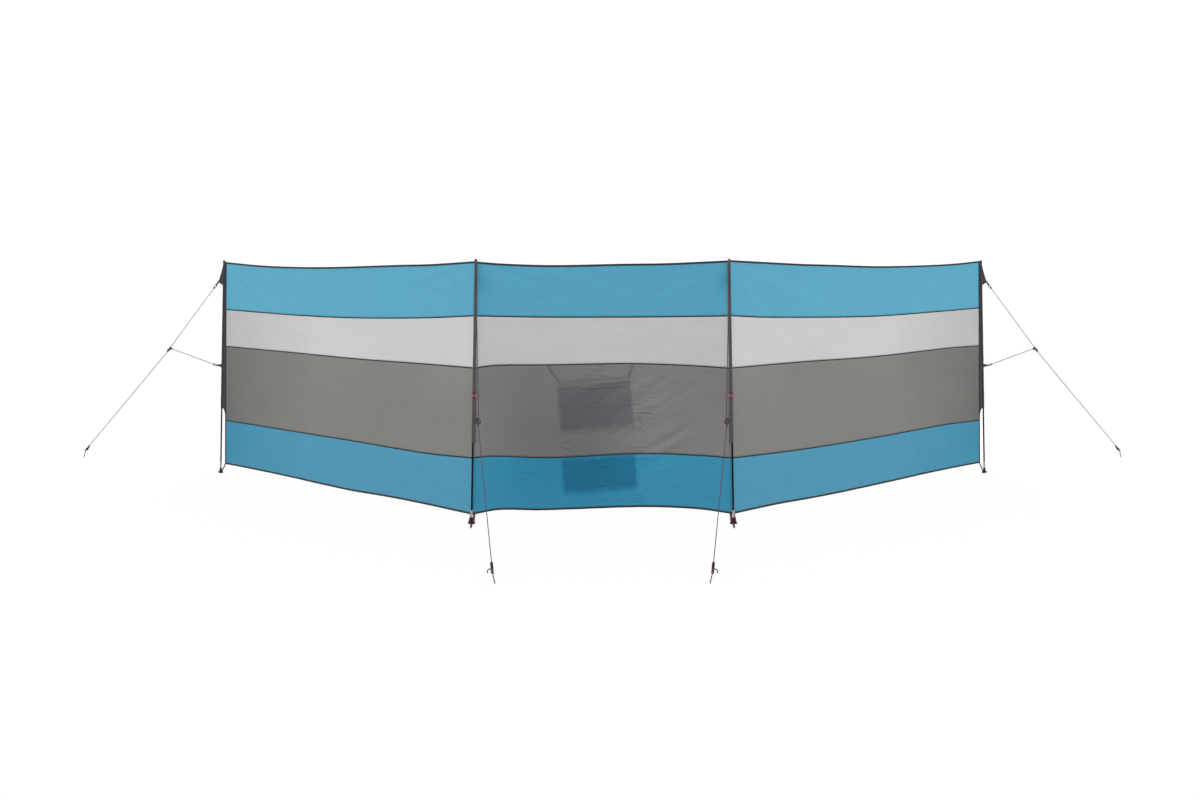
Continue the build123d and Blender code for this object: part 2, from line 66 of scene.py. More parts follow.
# Heights of the five edges from the lower hem to the top hem: at distances out from the
# front pole on a side bay, at places across on the middle one
edgeLines = {
    "left": [
        [(0, 0.048), (0.17, 0.051), (0.43, 0.055), (0.70, 0.056), (1.00, 0.050), (1.30, 0.0535),
         (1.60, 0.0605), (2.05, 0.0635), (2.40, 0.064)],
        [(0, 0.365), (0.37, 0.352), (1.01, 0.360), (1.58, 0.363), (2.40, 0.367)],
        [(0, 0.868), (0.37, 0.869), (1.01, 0.868), (1.58, 0.875), (2.40, 0.881)],
        [(0, 1.160), (0.37, 1.138), (1.01, 1.119), (1.58, 1.120), (2.40, 1.138)],
        [(0, 1.466), (0.34, 1.4507), (0.58, 1.447), (1.31, 1.4335), (1.88, 1.441), (2.40, 1.4695)],
    ],
    "middle": [
        [(-0.728, 0.048), (-0.58, 0.0755), (-0.35, 0.0742), (0.23, 0.0925), (0.54, 0.0795), (0.728, 0.052)],
        [(-0.728, 0.365), (-0.62, 0.376), (-0.28, 0.369), (0.21, 0.392), (0.54, 0.381), (0.728, 0.365)],
        [(-0.728, 0.866), (-0.60, 0.883), (-0.29, 0.887), (0.15, 0.894), (0.49, 0.883), (0.728, 0.866)],
        [(-0.728, 1.160), (-0.29, 1.153), (0.32, 1.155), (0.728, 1.160)],
        [(-0.728, 1.466), (-0.55, 1.4525), (-0.28, 1.4445), (0.12, 1.4517), (0.34, 1.4545), (0.55, 1.463),
         (0.728, 1.472)],
    ],
    "right": [
        [(0, 0.052), (0.36, 0.0575), (0.81, 0.054), (1.28, 0.0605), (1.80, 0.070), (2.13, 0.0725),
         (2.40, 0.0715)],
        [(0, 0.365), (0.56, 0.355), (1.22, 0.359), (1.96, 0.373), (2.40, 0.367)],
        [(0, 0.868), (0.56, 0.872), (1.22, 0.869), (1.96, 0.885), (2.40, 0.886)],
        [(0, 1.160), (0.30, 1.143), (1.22, 1.123), (1.96, 1.137), (2.40, 1.149)],
        [(0, 1.472), (0.56, 1.4525), (0.81, 1.448), (1.28, 1.4392), (1.80, 1.4466), (2.13, 1.4594),
         (2.40, 1.4775)],
    ],
}


def smoothLine(points):
    # a smooth line through the points, as a function of the distance
    last = len(points) - 1
    slopes = []
    for i in range(last + 1):
        before, after = points[max(i - 1, 0)], points[min(i + 1, last)]
        slopes.append((after[1] - before[1]) / (after[0] - before[0]))

    def heightAt(place):
        i = 0
        while i < last - 1 and place > points[i + 1][0]:
            i += 1
        (x0, y0), (x1, y1) = points[i], points[i + 1]
        span = x1 - x0
        t = min(max((place - x0) / span, 0), 1)
        rest = 1 - t
        return ((1 + 2 * t) * rest ** 2 * y0 + t * rest ** 2 * span * slopes[i]
                + t ** 2 * (3 - 2 * t) * y1 - t ** 2 * rest * span * slopes[i + 1])
    return heightAt


def freeEdge(height):
    top, bottom = windbreak["endInset"]
    return top + (bottom - top) * (1 - height / windbreak["topHem"])


def layOutBay(name):
    bay = {"name": name, "edges": [smoothLine(line) for line in edgeLines[name]]}
    if name == "middle":
        bay.update(origin=Vector((0, frontY, 0)), along=Vector((1, 0, 0)), up=zUp,
                   out=Vector((0, -1, 0)), seed=4.0,
                   start=lambda height: -halfFront + lean * height,
                   finish=lambda height: halfFront - lean * height)
        return bay
    side = -1 if name == "left" else 1
    along = Vector((side * cos(turn), sin(turn), 0))
    pole = Vector((-side * poleWay.x, 0, poleWay.z))
    up = (pole - along * pole.dot(along)).normalized()
    out = along.cross(up)
    shift = pole.dot(along) / pole.dot(up)
    bay.update(origin=Vector((side * halfFront, frontY, 0)), along=along, up=up,
               out=-out if out.y > 0 else out, seed=11.0 if side < 0 else 23.0,
               start=lambda height: shift * height,
               finish=lambda height: windbreak["sideLength"] + shift * height - freeEdge(height))
    return bay


bays = {name: layOutBay(name) for name in ("left", "middle", "right")}
sides = ("left", "right")
# for each pole: its side and kind, how its pieces' names start, and whether they are turned over
poles = [(side, kind, f"{side}_{kind}_", side == "right") for side in sides for kind in ("front", "end")]


def bayPoint(bay, across, height, proud=0.0):
    return bay["origin"] + bay["along"] * across + bay["up"] * height + bay["out"] * proud


def ease(low, high, value):
    t = min(max((value - low) / (high - low), 0), 1)
    return t * t * (3 - 2 * t)


# How the cloth lies off its plane, in metres
drape = {
    "belly": 0.007,             # the soft bag between two poles
    "middleBelly": 0.0042,      # the wind's push on the middle bay besides
    "puckers": 0.0009,          # beside each seam
    "puckerReach": 0.03,
    "fans": 0.0028,             # pulled folds that run in from the top corners
    "fanStart": 0.02,
    "fanReach": 1.1,
    "fanPeak": 0.3,
    "organiserPull": 0.0085,    # slanting folds beside the organiser's pull
    "held": 0.09,               # flat within this of the sleeves
}
# long folds, slanting folds and creases: their size and seed, how often they come across and
# how much height leans them, how often they come up the cloth and how much the place leans them
foldLayers = [(0.0034, 0, 1.7, 0, 3.6, 0), (0.0017, 3, 4.2, 2.5, 8.5, 0), (0.0014, 5, 12, 0, 20, -7)]


def organiserFolds(across, height, seed):
    # they slant up to the right, between the organiser and the right front pole
    level, cross = across * 0.87 + height * 0.5, height * 0.87 - across * 0.5
    beside = (ease(-0.30, 0.16, across) * ease(0.62, 0.30, across) * ease(0.24, 0.40, height)
              * ease(0.87, 0.76, height))
    return drape["organiserPull"] * beside * noise.noise((level * 3.2, cross * 24, seed + 17))


def clothLift(bay, across, height):
    start, finish, seed = bay["start"](height), bay["finish"](height), bay["seed"]
    share = (across - start) / (finish - start)
    tall = height / windbreak["topHem"]
    held = ease(0.004, drape["held"], min(across - start, finish - across))
    lift = drape["belly"] * sin(pi * min(max(share, 0), 1)) * sin(pi * min(max(tall, 0), 1)) ** 0.6
    for size, own, oftenAcross, heightLeans, oftenUp, placeLeans in foldLayers:
        lift += size * noise.noise((across * oftenAcross + height * heightLeans,
                                    height * oftenUp + across * placeLeans, seed + own))
    for i, edge in enumerate(bay["edges"]):
        away = abs(height - edge(across))
        if away < drape["puckerReach"] * 3:
            lift += (drape["puckers"] * exp(-away / drape["puckerReach"])
                     * noise.noise((across * 21, i * 7.3, seed + 8)))
    for end in (start, finish):
        aside, down = abs(across - end), windbreak["topHem"] - height
        reach = hypot(aside, down)
        if drape["fanStart"] < reach < drape["fanReach"]:
            far = reach / drape["fanPeak"]
            lift += drape["fans"] * noise.noise((down / reach * 7, end * 3, seed + 13)) * far * exp(1 - far)
    if bay["name"] == "middle":
        lift += drape["middleBelly"] + organiserFolds(across, height, seed)
    return lift * held


# Mesh helpers: every sheet, tape and tube starts as a flat grid that a function lays in place

def gridMesh(bm, columns, rows, place, pattern, materialIndex=0):
    # place and pattern both go from shares of the grid, the one to a point, the other to a UV
    verts = bmesh.ops.create_grid(bm, x_segments=columns, y_segments=rows, size=0.5)["verts"]
    layer = bm.loops.layers.uv.verify()
    flat = {vertex: (vertex.co.x + 0.5, vertex.co.y + 0.5) for vertex in verts}
    for face in {face for vertex in verts for face in vertex.link_faces}:
        face.smooth = True
        face.material_index = materialIndex
        for loop in face.loops:
            loop[layer].uv = pattern(*flat[loop.vert])
    for vertex, (u, v) in flat.items():
        vertex.co = place(u, v)
    return verts


def openEdges(verts):
    live = [vertex for vertex in verts if vertex.is_valid]
    return [edge for edge in {e for v in live for e in v.link_edges} if edge.is_boundary]


def closeUp(bm, verts):
    # joins a rolled-up grid along its seam and shuts its two ends
    bmesh.ops.remove_doubles(bm, verts=verts, dist=0.00002)
    rims = openEdges(verts)
    if rims:
        bmesh.ops.holes_fill(bm, edges=rims, sides=0)


def squared(value, power=0.45):
    # a circle's sine or cosine, pushed out toward a rectangle's
    return abs(value) ** power * (1 if value > 0 else -1)


def headed(degrees):
    return Vector((cos(radians(degrees)), sin(radians(degrees)), 0))


def sideSteps(way, hint):
    # two directions square to a path
    first = way.cross(hint)
    if first.length < 0.05:
        first = way.cross(Vector((0.3, 0.9, 0.2)))
    first.normalize()
    return first, way.cross(first).normalized()


def wayAt(points, i):
    return (points[min(i + 1, len(points) - 1)] - points[max(i - 1, 0)]).normalized()


def pathFrames(points):
    # at each point two directions square to the path, carried on without twisting
    frames = []
    for i, point in enumerate(points):
        way = wayAt(points, i)
        if frames:
            first = frames[-1][1] - way * frames[-1][1].dot(way)
            first.normalize()
            frames.append((point, first, way.cross(first).normalized()))
        else:
            frames.append((point, *sideSteps(way, zUp)))
    return frames


def evenPoints(points, step):
    # a smooth line through a few points, cut into even steps
    lengths = [0.0]
    for a, b in zip(points, points[1:]):
        lengths.append(lengths[-1] + (b - a).length)
    lines = [smoothLine([(length, point[axis]) for length, point in zip(lengths, points)])
             for axis in range(3)]
    count = max(2, round(lengths[-1] / step))
    return [Vector(line(lengths[-1] * i / count) for line in lines) for i in range(count + 1)]


def pathLength(points):
    return sum((b - a).length for a, b in zip(points, points[1:]))


def tube(bm, points, radius, columns, materialIndex=0):
    frames = pathFrames(points)
    last, total = len(points) - 1, pathLength(points)

    def place(u, v):
        point, first, second = frames[round(v * last)]
        angle = 2 * pi * u
        return point + (first * cos(angle) + second * sin(angle)) * radius

    closeUp(bm, gridMesh(bm, columns, last, place, lambda u, v: (v * total, u * 2 * pi * radius),
                         materialIndex))


def tape(bm, points, widthWay, width, thickness, materialIndex=0):
    # a flat tape with rounded edges, its width along one direction
    last, total = len(points) - 1, pathLength(points)
    ways = [wayAt(points, i) for i in range(last + 1)]
    widthAt = width if callable(width) else lambda v: width

    def place(u, v):
        i = round(v * last)
        across = (widthWay - ways[i] * widthWay.dot(ways[i])).normalized()
        proud = ways[i].cross(across)
        angle = 2 * pi * u
        return (points[i] + across * squared(cos(angle)) * widthAt(v) / 2
                + proud * squared(sin(angle)) * thickness / 2)

    def pattern(u, v):
        return v * total, squared(cos(2 * pi * u)) * widthAt(0) / 2

    closeUp(bm, gridMesh(bm, 12, last, place, pattern, materialIndex))


def placeObject(name, data):
    placed = bpy.data.objects.new(name, data)
    bpy.context.scene.collection.objects.link(placed)
    return placed


def finishPiece(bm, name, looks, replaced=(), turnOver=False):
    if turnOver:
        for vertex in bm.verts:
            vertex.co.x = -vertex.co.x
    bmesh.ops.recalc_face_normals(bm, faces=bm.faces)
    mesh = bpy.data.meshes.new(name)
    bm.to_mesh(mesh)
    bm.free()
    for look in looks:
        mesh.materials.append(materials[look])
    piece = placeObject(name, mesh)
    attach(piece, "root")
    if replaced:
        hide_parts(*replaced)
    return piece


def thicken(piece, thickness):
    solid = piece.modifiers.new("cloth thickness", "SOLIDIFY")
    solid.thickness = thickness
    solid.offset = 0.0
    solid.use_even_offset = False


# Shader helpers: each adds a node and gives its outputs, or the one that is used

def addNode(tree, kind, inputs=None, **settings):
    node = tree.nodes.new("ShaderNode" + kind)
    for key, value in settings.items():
        setattr(node, key, value)
    for key, value in (inputs or {}).items():
        if isinstance(value, bpy.types.NodeSocket):
            tree.links.new(value, node.inputs[key])
        else:
            node.inputs[key].default_value = value
    return node.outputs


def mapped(tree, vector, stretch):
    return addNode(tree, "Mapping", {0: vector, "Scale": stretch})[0]


def noiseOf(tree, vector, scale, detail=2.0):
    return addNode(tree, "TexNoise", {"Vector": vector, "Scale": scale, "Detail": detail})[0]


def drawnNoise(tree, vector, stretch, detail=2.0):
    # noise drawn out into threads, fibres or brush marks
    return noiseOf(tree, mapped(tree, vector, stretch), 1.0, detail)


def spread(tree, value, low, high, lowest=0.0, highest=1.0):
    return addNode(tree, "MapRange", {0: value, 1: low, 2: high, 3: lowest, 4: highest})[0]


def calc(tree, operation, a, b=0.0, c=0.0):
    return addNode(tree, "Math", {0: a, 1: b, 2: c}, operation=operation)[0]


def times(tree, a, b):
    return calc(tree, "MULTIPLY", a, b)


def scaled(tree, value, factor, added):
    return calc(tree, "MULTIPLY_ADD", value, factor, added)


def vectorCalc(tree, operation, a, b):
    second = "Scale" if operation == "SCALE" else 1
    return addNode(tree, "VectorMath", {0: a, second: b}, operation=operation)[0]


def turned(tree, vector, angle):
    return addNode(tree, "VectorRotate", {"Vector": vector, "Angle": angle}, rotation_type="Z_AXIS")[0]


def mixColour(tree, factor, a, b, blend="MIX"):
    return addNode(tree, "Mix", {0: factor, 6: a, 7: b}, data_type="RGBA", blend_type=blend)[2]


def scaleColour(tree, colour, amount):
    return vectorCalc(tree, "SCALE", colour[:3] if isinstance(colour, tuple) else colour, amount)


def makeGroup(name, settings, build):
    # takes a place and the settings, and gives what build works out from them
    group = bpy.data.node_groups.new(name, "ShaderNodeTree")
    for label, value in {"Vector": None, **settings}.items():
        kind = "NodeSocketVector" if value is None else "NodeSocketFloat"
        socket = group.interface.new_socket(label, in_out="INPUT", socket_type=kind)
        if value is not None:
            socket.default_value = value
    results = build(group, group.nodes.new("NodeGroupInput").outputs)
    for label in results:
        group.interface.new_socket(label, in_out="OUTPUT", socket_type="NodeSocketFloat")
    out = group.nodes.new("NodeGroupOutput").inputs
    for label, value in results.items():
        group.links.new(value, out[label])
    return group


def useGroup(tree, group, vector, **inputs):
    return addNode(tree, "Group", {"Vector": vector, **inputs}, node_tree=group)


def tone(red, green, blue):
    # a colour as a screen shows it, made linear
    return tuple(((c / 255 + 0.055) / 1.055) ** 2.4 if c > 10 else c / 255 / 12.92
                 for c in (red, green, blue)) + (1.0,)


def plainWeave(group, given):
    parts = addNode(group, "SeparateXYZ", {0: given["Vector"]})
    across, up = (calc(group, "SINE", times(group, calc(group, "DIVIDE", parts[axis], given["Pitch"]), pi))
                  for axis in ("X", "Y"))
    return {"Height": scaled(group, times(group, across, up), 0.5, 0.5),
            "Slub": drawnNoise(group, given["Vector"], (12, 900, 1))}


def toneDrift(group, given):
    centred = calc(group, "SUBTRACT", noiseOf(group, given["Vector"], given["Scale"], 3.0), 0.5)
    return {"Factor": scaled(group, centred, times(group, given["Amount"], 2.0), 1.0)}


def stitchRow(group, given):
    # a row of stitches along U, at a distance across in V
    parts = addNode(group, "SeparateXYZ", {0: given["Vector"]})
    aside = calc(group, "ABSOLUTE", calc(group, "SUBTRACT", parts["Y"], given["Row"]))
    thin = calc(group, "LESS_THAN", aside, given["Width"])
    along = calc(group, "FRACT", calc(group, "DIVIDE", parts["X"], given["Length"]))
    return {"Mask": times(group, thin, calc(group, "LESS_THAN", along, 0.68))}


def boxShade(group, given):
    # the soft shadow of a flat thing that hangs behind thin cloth
    moved = vectorCalc(group, "SUBTRACT", given["Vector"], given["Centre"])
    uneven = addNode(group, "TexNoise", {"Vector": given["Vector"], "Scale": 18.0, "Detail": 2.0})[1]
    waver = vectorCalc(group, "SCALE", vectorCalc(group, "SUBTRACT", uneven, (0.5, 0.5, 0.5)), given["Waver"])
    placed = vectorCalc(group, "ADD", turned(group, moved, given["Tilt"]), waver)
    parts = addNode(group, "SeparateXYZ", {0: placed})
    masks = []
    for axis, size, blur in (("X", "Half Width", 1.0), ("Y", "Half Height", 2.2)):
        inside = calc(group, "SUBTRACT", given[size], calc(group, "ABSOLUTE", parts[axis]))
        soft = scaled(group, calc(group, "DIVIDE", inside, times(group, given["Softness"], blur)), 0.5, 0.5)
        masks.append(addNode(group, "Clamp", {0: soft})[0])
    return {"Mask": times(group, *masks)}


def crumpling(group, given):
    # fine pulled creases, longer than they are wide, that come and go over the cloth
    drawn = mapped(group, turned(group, given["Vector"], given["Turn"]), (8, 38, 1))
    creases = addNode(group, "TexNoise", {"Vector": drawn, "Scale": 1.0, "Detail": 1.0, "Distortion": 0.5})[0]
    ridge = calc(group, "ABSOLUTE", calc(group, "SUBTRACT", creases, 0.5))
    shown = spread(group, noiseOf(group, given["Vector"], 5.5, 1.0), 0.45, 0.62, lowest=0.05)
    return {"Height": times(group, ridge, shown)}


def handlingWear(group, given):
    fine = noiseOf(group, mapped(group, given["Vector"], (1, 1, 0.12)), times(group, given["Scale"], 8.0))
    return {"Scratches": spread(group, fine, 0.60, 0.72),
            "Cloud": noiseOf(group, given["Vector"], given["Scale"], 3.0)}


def sandDust(group, given):
    # dry sand that clings low down
    height = addNode(group, "SeparateXYZ", {0: given["Vector"]})["Z"]
    spots = spread(group, noiseOf(group, given["Vector"], 420.0, 3.0), 0.45, 0.75)
    return {"Mask": times(group, spread(group, height, 0.0, given["Reach"], 1.0, 0.0), spots)}


weave = makeGroup("plain weave", {"Pitch": 0.0008}, plainWeave)
drift = makeGroup("tone drift", {"Scale": 2.0, "Amount": 0.03}, toneDrift)
stitches = makeGroup("stitch row", {"Row": 0.003, "Length": 0.004, "Width": 0.0006}, stitchRow)
backShade = makeGroup("box shade", {"Centre": None, "Tilt": 0.0, "Half Width": 0.2, "Half Height": 0.1,
                                    "Softness": 0.01, "Waver": 0.018}, boxShade)
crumple = makeGroup("crumpling", {"Turn": 0.12}, crumpling)
wear = makeGroup("handling wear", {"Scale": 60.0}, handlingWear)
sand = makeGroup("sand dust", {"Reach": 0.12}, sandDust)

finishes = {
    "sandColour": tone(205, 190, 160),
    "sandAmount": 0.10,
    "sandReach": {"cloth": 0.14, "webbing": 0.10, "moulded": 0.05},     # how far up it clings
    "pitch": {"cloth": 0.0009, "strong": 0.0012, "webbing": 0.0016},    # from thread to thread
    "depth": {"creases": 0.0030, "cloth": 0.00012, "webbing": 0.0003, "moulded": 0.00010,
              "metal": 0.00006, "fibres": 0.00004, "cord": 0.0002},     # of each relief
    "stitchLength": 0.0042,
    # what the pockets take from the light behind the cloth, and the wider shade round them
    "through": {"grey": ((0.60, 0.59, 0.67, 1), (0.76, 0.76, 0.77, 1)),
                "blue": ((0.28, 0.58, 0.66, 1), (0.60, 0.84, 0.86, 1))},
    "creasing": 8.5,            # how much more the cloth is creased near the organiser
    "middleCreasing": 1.6,
    "ruckTilt": -0.07,
}
materials = {}
# where the organiser's pull creases the middle bay most: place, half width and half height
creasedAreas = [(0.06, 0.79, 0.20, 0.05), (0.17, 0.68, 0.09, 0.14), (-0.09, 0.54, 0.17, 0.05),
                (0.00, 0.35, 0.26, 0.07), (0.12, 0.22, 0.14, 0.05)]
# and the ridges beside the upper pocket's rim: place, half width and height
ruckedLines = [(0.008, 0.761, 0.135, 2.4), (0.056, 0.789, 0.100, 1.9), (0.180, 0.672, 0.055, 1.2)]


def startMaterial(name):
    material = bpy.data.materials.new(name)
    material.use_nodes = True
    materials[name] = material
    tree = material.node_tree
    places = addNode(tree, "TexCoord")
    return tree, places["UV"], places["Object"]


def bump(tree, height, kind, strength=1.0, under=None):
    inputs = {"Strength": strength, "Distance": finishes["depth"][kind], "Height": height}
    normal = addNode(tree, "Bump", {**inputs, "Normal": under} if under else inputs)[0]
    tree.links.new(normal, tree.nodes["Principled BSDF"].inputs["Normal"])
    return normal


def setSurface(tree, colour, roughness, specular=0.5, metallic=0.0, sheen=0.0):
    sockets = tree.nodes["Principled BSDF"].inputs
    tree.links.new(colour, sockets["Base Color"])
    tree.links.new(roughness, sockets["Roughness"])
    sockets["Specular IOR Level"].default_value = specular
    sockets["Metallic"].default_value = metallic
    sockets["Sheen Weight"].default_value = sheen


def sanded(tree, colour, objectSpace, reach, amount=finishes["sandAmount"]):
    dusty = times(tree, useGroup(tree, sand, objectSpace, Reach=reach)[0], amount)
    return mixColour(tree, dusty, colour, finishes["sandColour"])


def shadeBox(x, y, halfWidth, halfHeight, softness, **more):
    # a soft-edged box on the cloth's pattern, in metres
    return {"Centre": (x, y, 0), "Half Width": halfWidth, "Half Height": halfHeight,
            "Softness": softness, **more}


def boxMask(tree, uv, box):
    return useGroup(tree, backShade, uv, **box)[0]


def organiserCreases(tree, uv, pulled):
    # strengthens the fine creases where the organiser pulls, and adds the ridges at its rim
    near = 0.0
    for area in creasedAreas:
        near = calc(tree, "MAXIMUM", near, boxMask(tree, uv, shadeBox(*area, 0.05, Waver=0.06)))
    pulled = times(tree, pulled, scaled(tree, near, finishes["creasing"], finishes["middleCreasing"]))
    for x, y, halfWidth, ridge in ruckedLines:
        line = shadeBox(x, y, halfWidth, 0.0015, 0.0025, Waver=0.012, Tilt=finishes["ruckTilt"])
        pulled = calc(tree, "ADD", pulled, times(tree, boxMask(tree, uv, line), ridge))
    return pulled


def clothMaterial(name, colour, kind="cloth", roughness=0.72, shades=(), creased=False):
    tree, uv, objectSpace = startMaterial(name)
    threads = useGroup(tree, weave, uv, Pitch=finishes["pitch"][kind])
    broad = useGroup(tree, drift, uv, Scale=1.8, Amount=0.05)[0]
    thread = scaled(tree, threads["Height"], 0.10, 0.95)
    slub = scaled(tree, threads["Slub"], 0.08, 0.96)
    base = scaleColour(tree, colour, times(tree, times(tree, thread, slub), broad))
    for tint, amount, box in shades:
        base = mixColour(tree, times(tree, boxMask(tree, uv, box), amount), base, tint, "MULTIPLY")
    setSurface(tree, sanded(tree, base, objectSpace, finishes["sandReach"]["cloth"]),
               scaled(tree, threads["Slub"], 0.12, roughness - 0.06), specular=0.2, sheen=0.04)
    pulled = useGroup(tree, crumple, uv)[0]
    if creased:
        pulled = organiserCreases(tree, uv, pulled)
    under = bump(tree, pulled, "creases")
    bump(tree, threads["Height"], "cloth", 0.6, under)


def webbingMaterial(name, colour, thread, row=0.0032):
    tree, uv, objectSpace = startMaterial(name)
    threads = useGroup(tree, weave, uv, Pitch=finishes["pitch"]["webbing"])
    broad = useGroup(tree, drift, objectSpace, Scale=9.0, Amount=0.10)[0]
    level = times(tree, scaled(tree, threads["Height"], 0.35, 0.82), broad)
    sewn = calc(tree, "MAXIMUM", *(useGroup(tree, stitches, uv, Row=aside, Length=finishes["stitchLength"])[0]
                                   for aside in (-row, row)))
    base = mixColour(tree, sewn, scaleColour(tree, colour, level), thread)
    setSurface(tree, sanded(tree, base, objectSpace, finishes["sandReach"]["webbing"]),
               scaled(tree, threads["Height"], 0.15, 0.66), specular=0.2)
    bump(tree, calc(tree, "ADD", threads["Height"], times(tree, sewn, 1.6)), "webbing", 0.8)


def mouldedMaterial(name, colour, roughness=0.42, dust=True):
    tree, uv, objectSpace = startMaterial(name)
    marks = useGroup(tree, wear, objectSpace, Scale=70.0)
    base = mixColour(tree, times(tree, marks["Scratches"], 0.06), colour, tone(120, 118, 115))
    if dust:
        base = sanded(tree, base, objectSpace, finishes["sandReach"]["moulded"], 0.04)
    setSurface(tree, base, scaled(tree, marks["Cloud"], 0.22, roughness - 0.1), specular=0.12)
    bump(tree, noiseOf(tree, objectSpace, 900.0), "moulded", 0.5)


def metalMaterial(name, colour, roughness, brush=(900, 900, 30)):
    tree, uv, objectSpace = startMaterial(name)
    lines = drawnNoise(tree, objectSpace, brush, 3.0)
    marks = useGroup(tree, wear, objectSpace, Scale=55.0)
    level = scaled(tree, lines, 0.25, 0.86)
    dulled = mixColour(tree, times(tree, marks["Cloud"], 0.35), scaleColour(tree, colour, level),
                       tone(120, 112, 104))
    setSurface(tree, dulled, scaled(tree, lines, 0.25, roughness - 0.1), metallic=1.0)
    bump(tree, lines, "metal", 0.6)


def poleMaterial(name, colour):
    # pultruded glass-fibre rod: long fibres under a thin gloss skin
    tree, uv, objectSpace = startMaterial(name)
    fibres = drawnNoise(tree, objectSpace, (1500, 1500, 9))
    marks = useGroup(tree, wear, objectSpace, Scale=40.0)
    base = scaleColour(tree, colour, scaled(tree, fibres, 0.9, 0.55))
    base = mixColour(tree, times(tree, marks["Scratches"], 0.18), base, tone(105, 105, 108))
    setSurface(tree, base, scaled(tree, marks["Cloud"], 0.2, 0.34), specular=0.06)
    bump(tree, fibres, "fibres", 0.5)


def cordMaterial(name, colour, fleck):
    tree, uv, objectSpace = startMaterial(name)
    filaments = drawnNoise(tree, uv, (150, 2400, 1))
    spots = times(tree, spread(tree, filaments, 0.55, 0.70), 0.55)
    setSurface(tree, mixColour(tree, spots, colour, fleck), scaled(tree, filaments, 0.2, 0.6), specular=0.25)
    bump(tree, filaments, "cord", 0.7)


organiserLook = {"centre": -0.050, "rim": 0.806, "tilt": 4.5, "width": 0.41, "upperHeight": 0.286,
                 "spacing": 0.15, "lowerHeight": 0.197, "depth": 0.030}
hanging = {"width": 0.014, "thickness": 0.0016, "splays": (0.058, 0.021), "top": 0.888, "off": 0.0012,
           "step": 0.006, "belowRim": 0.012, "lap": 0.010, "bows": (0.003, 0.004)}


def organiserBox(top, height, softness=0.009, aside=0.0):
    # a pocket's place on the middle bay's pattern
    tilt, down = radians(organiserLook["tilt"]), top - height / 2
    x, y = organiserLook["centre"] + aside - sin(tilt) * down, organiserLook["rim"] + cos(tilt) * down
    return shadeBox(x, y, organiserLook["width"] / 2, height / 2, softness, Tilt=-tilt)


def hangerBox(side, splay):
    # a hanging strap's place, from the rim up to the middle seam
    edge = side * (organiserLook["width"] - hanging["width"]) / 2
    tilt = radians(organiserLook["tilt"])
    x, y = organiserLook["centre"] + cos(tilt) * edge, organiserLook["rim"] + sin(tilt) * edge
    across, up = organiserLook["centre"] + edge + side * splay - x, hanging["top"] - y
    return shadeBox(x + across / 2, y + up / 2, hanging["width"] / 2, hypot(across, up) / 2, 0.005,
                    Tilt=atan2(across, up))


lowerTop = -organiserLook["upperHeight"] - organiserLook["spacing"]


def throughCloth(kind):
    # the shade round the organiser, then that of its rim, pockets and straps: how strong, and where
    pocketTint, bayTint = finishes["through"][kind]
    boxes = [(0.30, organiserBox(0, 0.05, 0.005)), (0.40, organiserBox(0.004, 0.012, 0.004)),
             (0.50, organiserBox(-0.037, 0.009, 0.004)),
             (0.9, organiserBox(-0.045, organiserLook["upperHeight"] - 0.052, 0.011)),
             (0.9, organiserBox(lowerTop + 0.004, organiserLook["lowerHeight"] - 0.006, aside=-0.008)),
             *((0.85, hangerBox(side, splay)) for side, splay in zip((-1, 1), hanging["splays"]))]
    return [(bayTint, 1.0, shadeBox(-0.24, 0.42, 0.33, 0.47, 0.16)),
            *((pocketTint, strength, box) for strength, box in boxes)]


def towardEnd(tint, corner=None):
    # less light comes through a side bay toward its end pole, and least near its lower corner
    shades = [(tint, 1.0, shadeBox(2.90, 0.70, 0.98, 2.0, 0.50, Waver=0.08))]
    return shades + [(corner, 1.0, shadeBox(2.55, 0.38, 0.30, 0.18, 0.15))] if corner else shades


# painted light: a lighter stretch of the dark band beside each front pole
paintedLightBesidePole = [((1.18, 1.13, 1.12, 1), 1.0, shadeBox(0.05, 0.83, 0.36, 0.02, 0.08, Waver=0.05))]

clothMaterial("top blue cloth", tone(88, 166, 194))
# the bottom band's blue is the top band's blue cloth made darker: painted shade, darker towards the bottom
clothMaterial("bottom blue cloth", tone(75, 147, 178),
              shades=towardEnd((0.56, 0.85, 0.88, 1), (0.90, 0.90, 0.90, 1)))
clothMaterial("light grey cloth", tone(202, 202, 201), shades=towardEnd((0.785, 0.785, 0.785, 1)))
clothMaterial("dark grey cloth", tone(126, 126, 123),
              shades=towardEnd((0.69, 0.69, 0.69, 1), (0.80, 0.80, 0.80, 1)) + paintedLightBesidePole)
# the middle bay's cloths are darker copies of the side bays' own: painted shade, for the less light the
# middle bay gets
clothMaterial("middle top blue cloth", tone(83, 161, 191))
clothMaterial("middle bottom blue cloth", tone(52, 137, 170), shades=throughCloth("blue"), creased=True)
clothMaterial("middle light grey cloth", tone(192, 192, 191))
clothMaterial("middle dark grey cloth", tone(123, 122, 121), shades=throughCloth("grey"), creased=True)
clothMaterial("front sleeve cloth", tone(76, 75, 77), "strong", 0.8)
clothMaterial("end sleeve cloth", tone(58, 60, 61), "strong", 0.8)
clothMaterial("pocket cloth", tone(80, 82, 86), "strong", 0.8)
webbingMaterial("edge tape", tone(37, 43, 46), tone(73, 80, 83))
webbingMaterial("red webbing", tone(94, 14, 35), tone(128, 50, 68), row=0.0030)
webbingMaterial("tab webbing", tone(100, 44, 58), tone(130, 80, 90), row=0.0030)
webbingMaterial("faded webbing", tone(144, 104, 110), tone(160, 128, 132), row=0.0040)
webbingMaterial("dark webbing", tone(58, 60, 64), tone(92, 94, 98), row=0.0040)
mouldedMaterial("black plastic", tone(14, 14, 15), roughness=0.55)
mouldedMaterial("brown knob plastic", tone(112, 96, 88), roughness=0.5, dust=False)
mouldedMaterial("ring plastic", tone(34, 30, 32), dust=False)
mouldedMaterial("tensioner plastic", tone(46, 22, 27), dust=False)
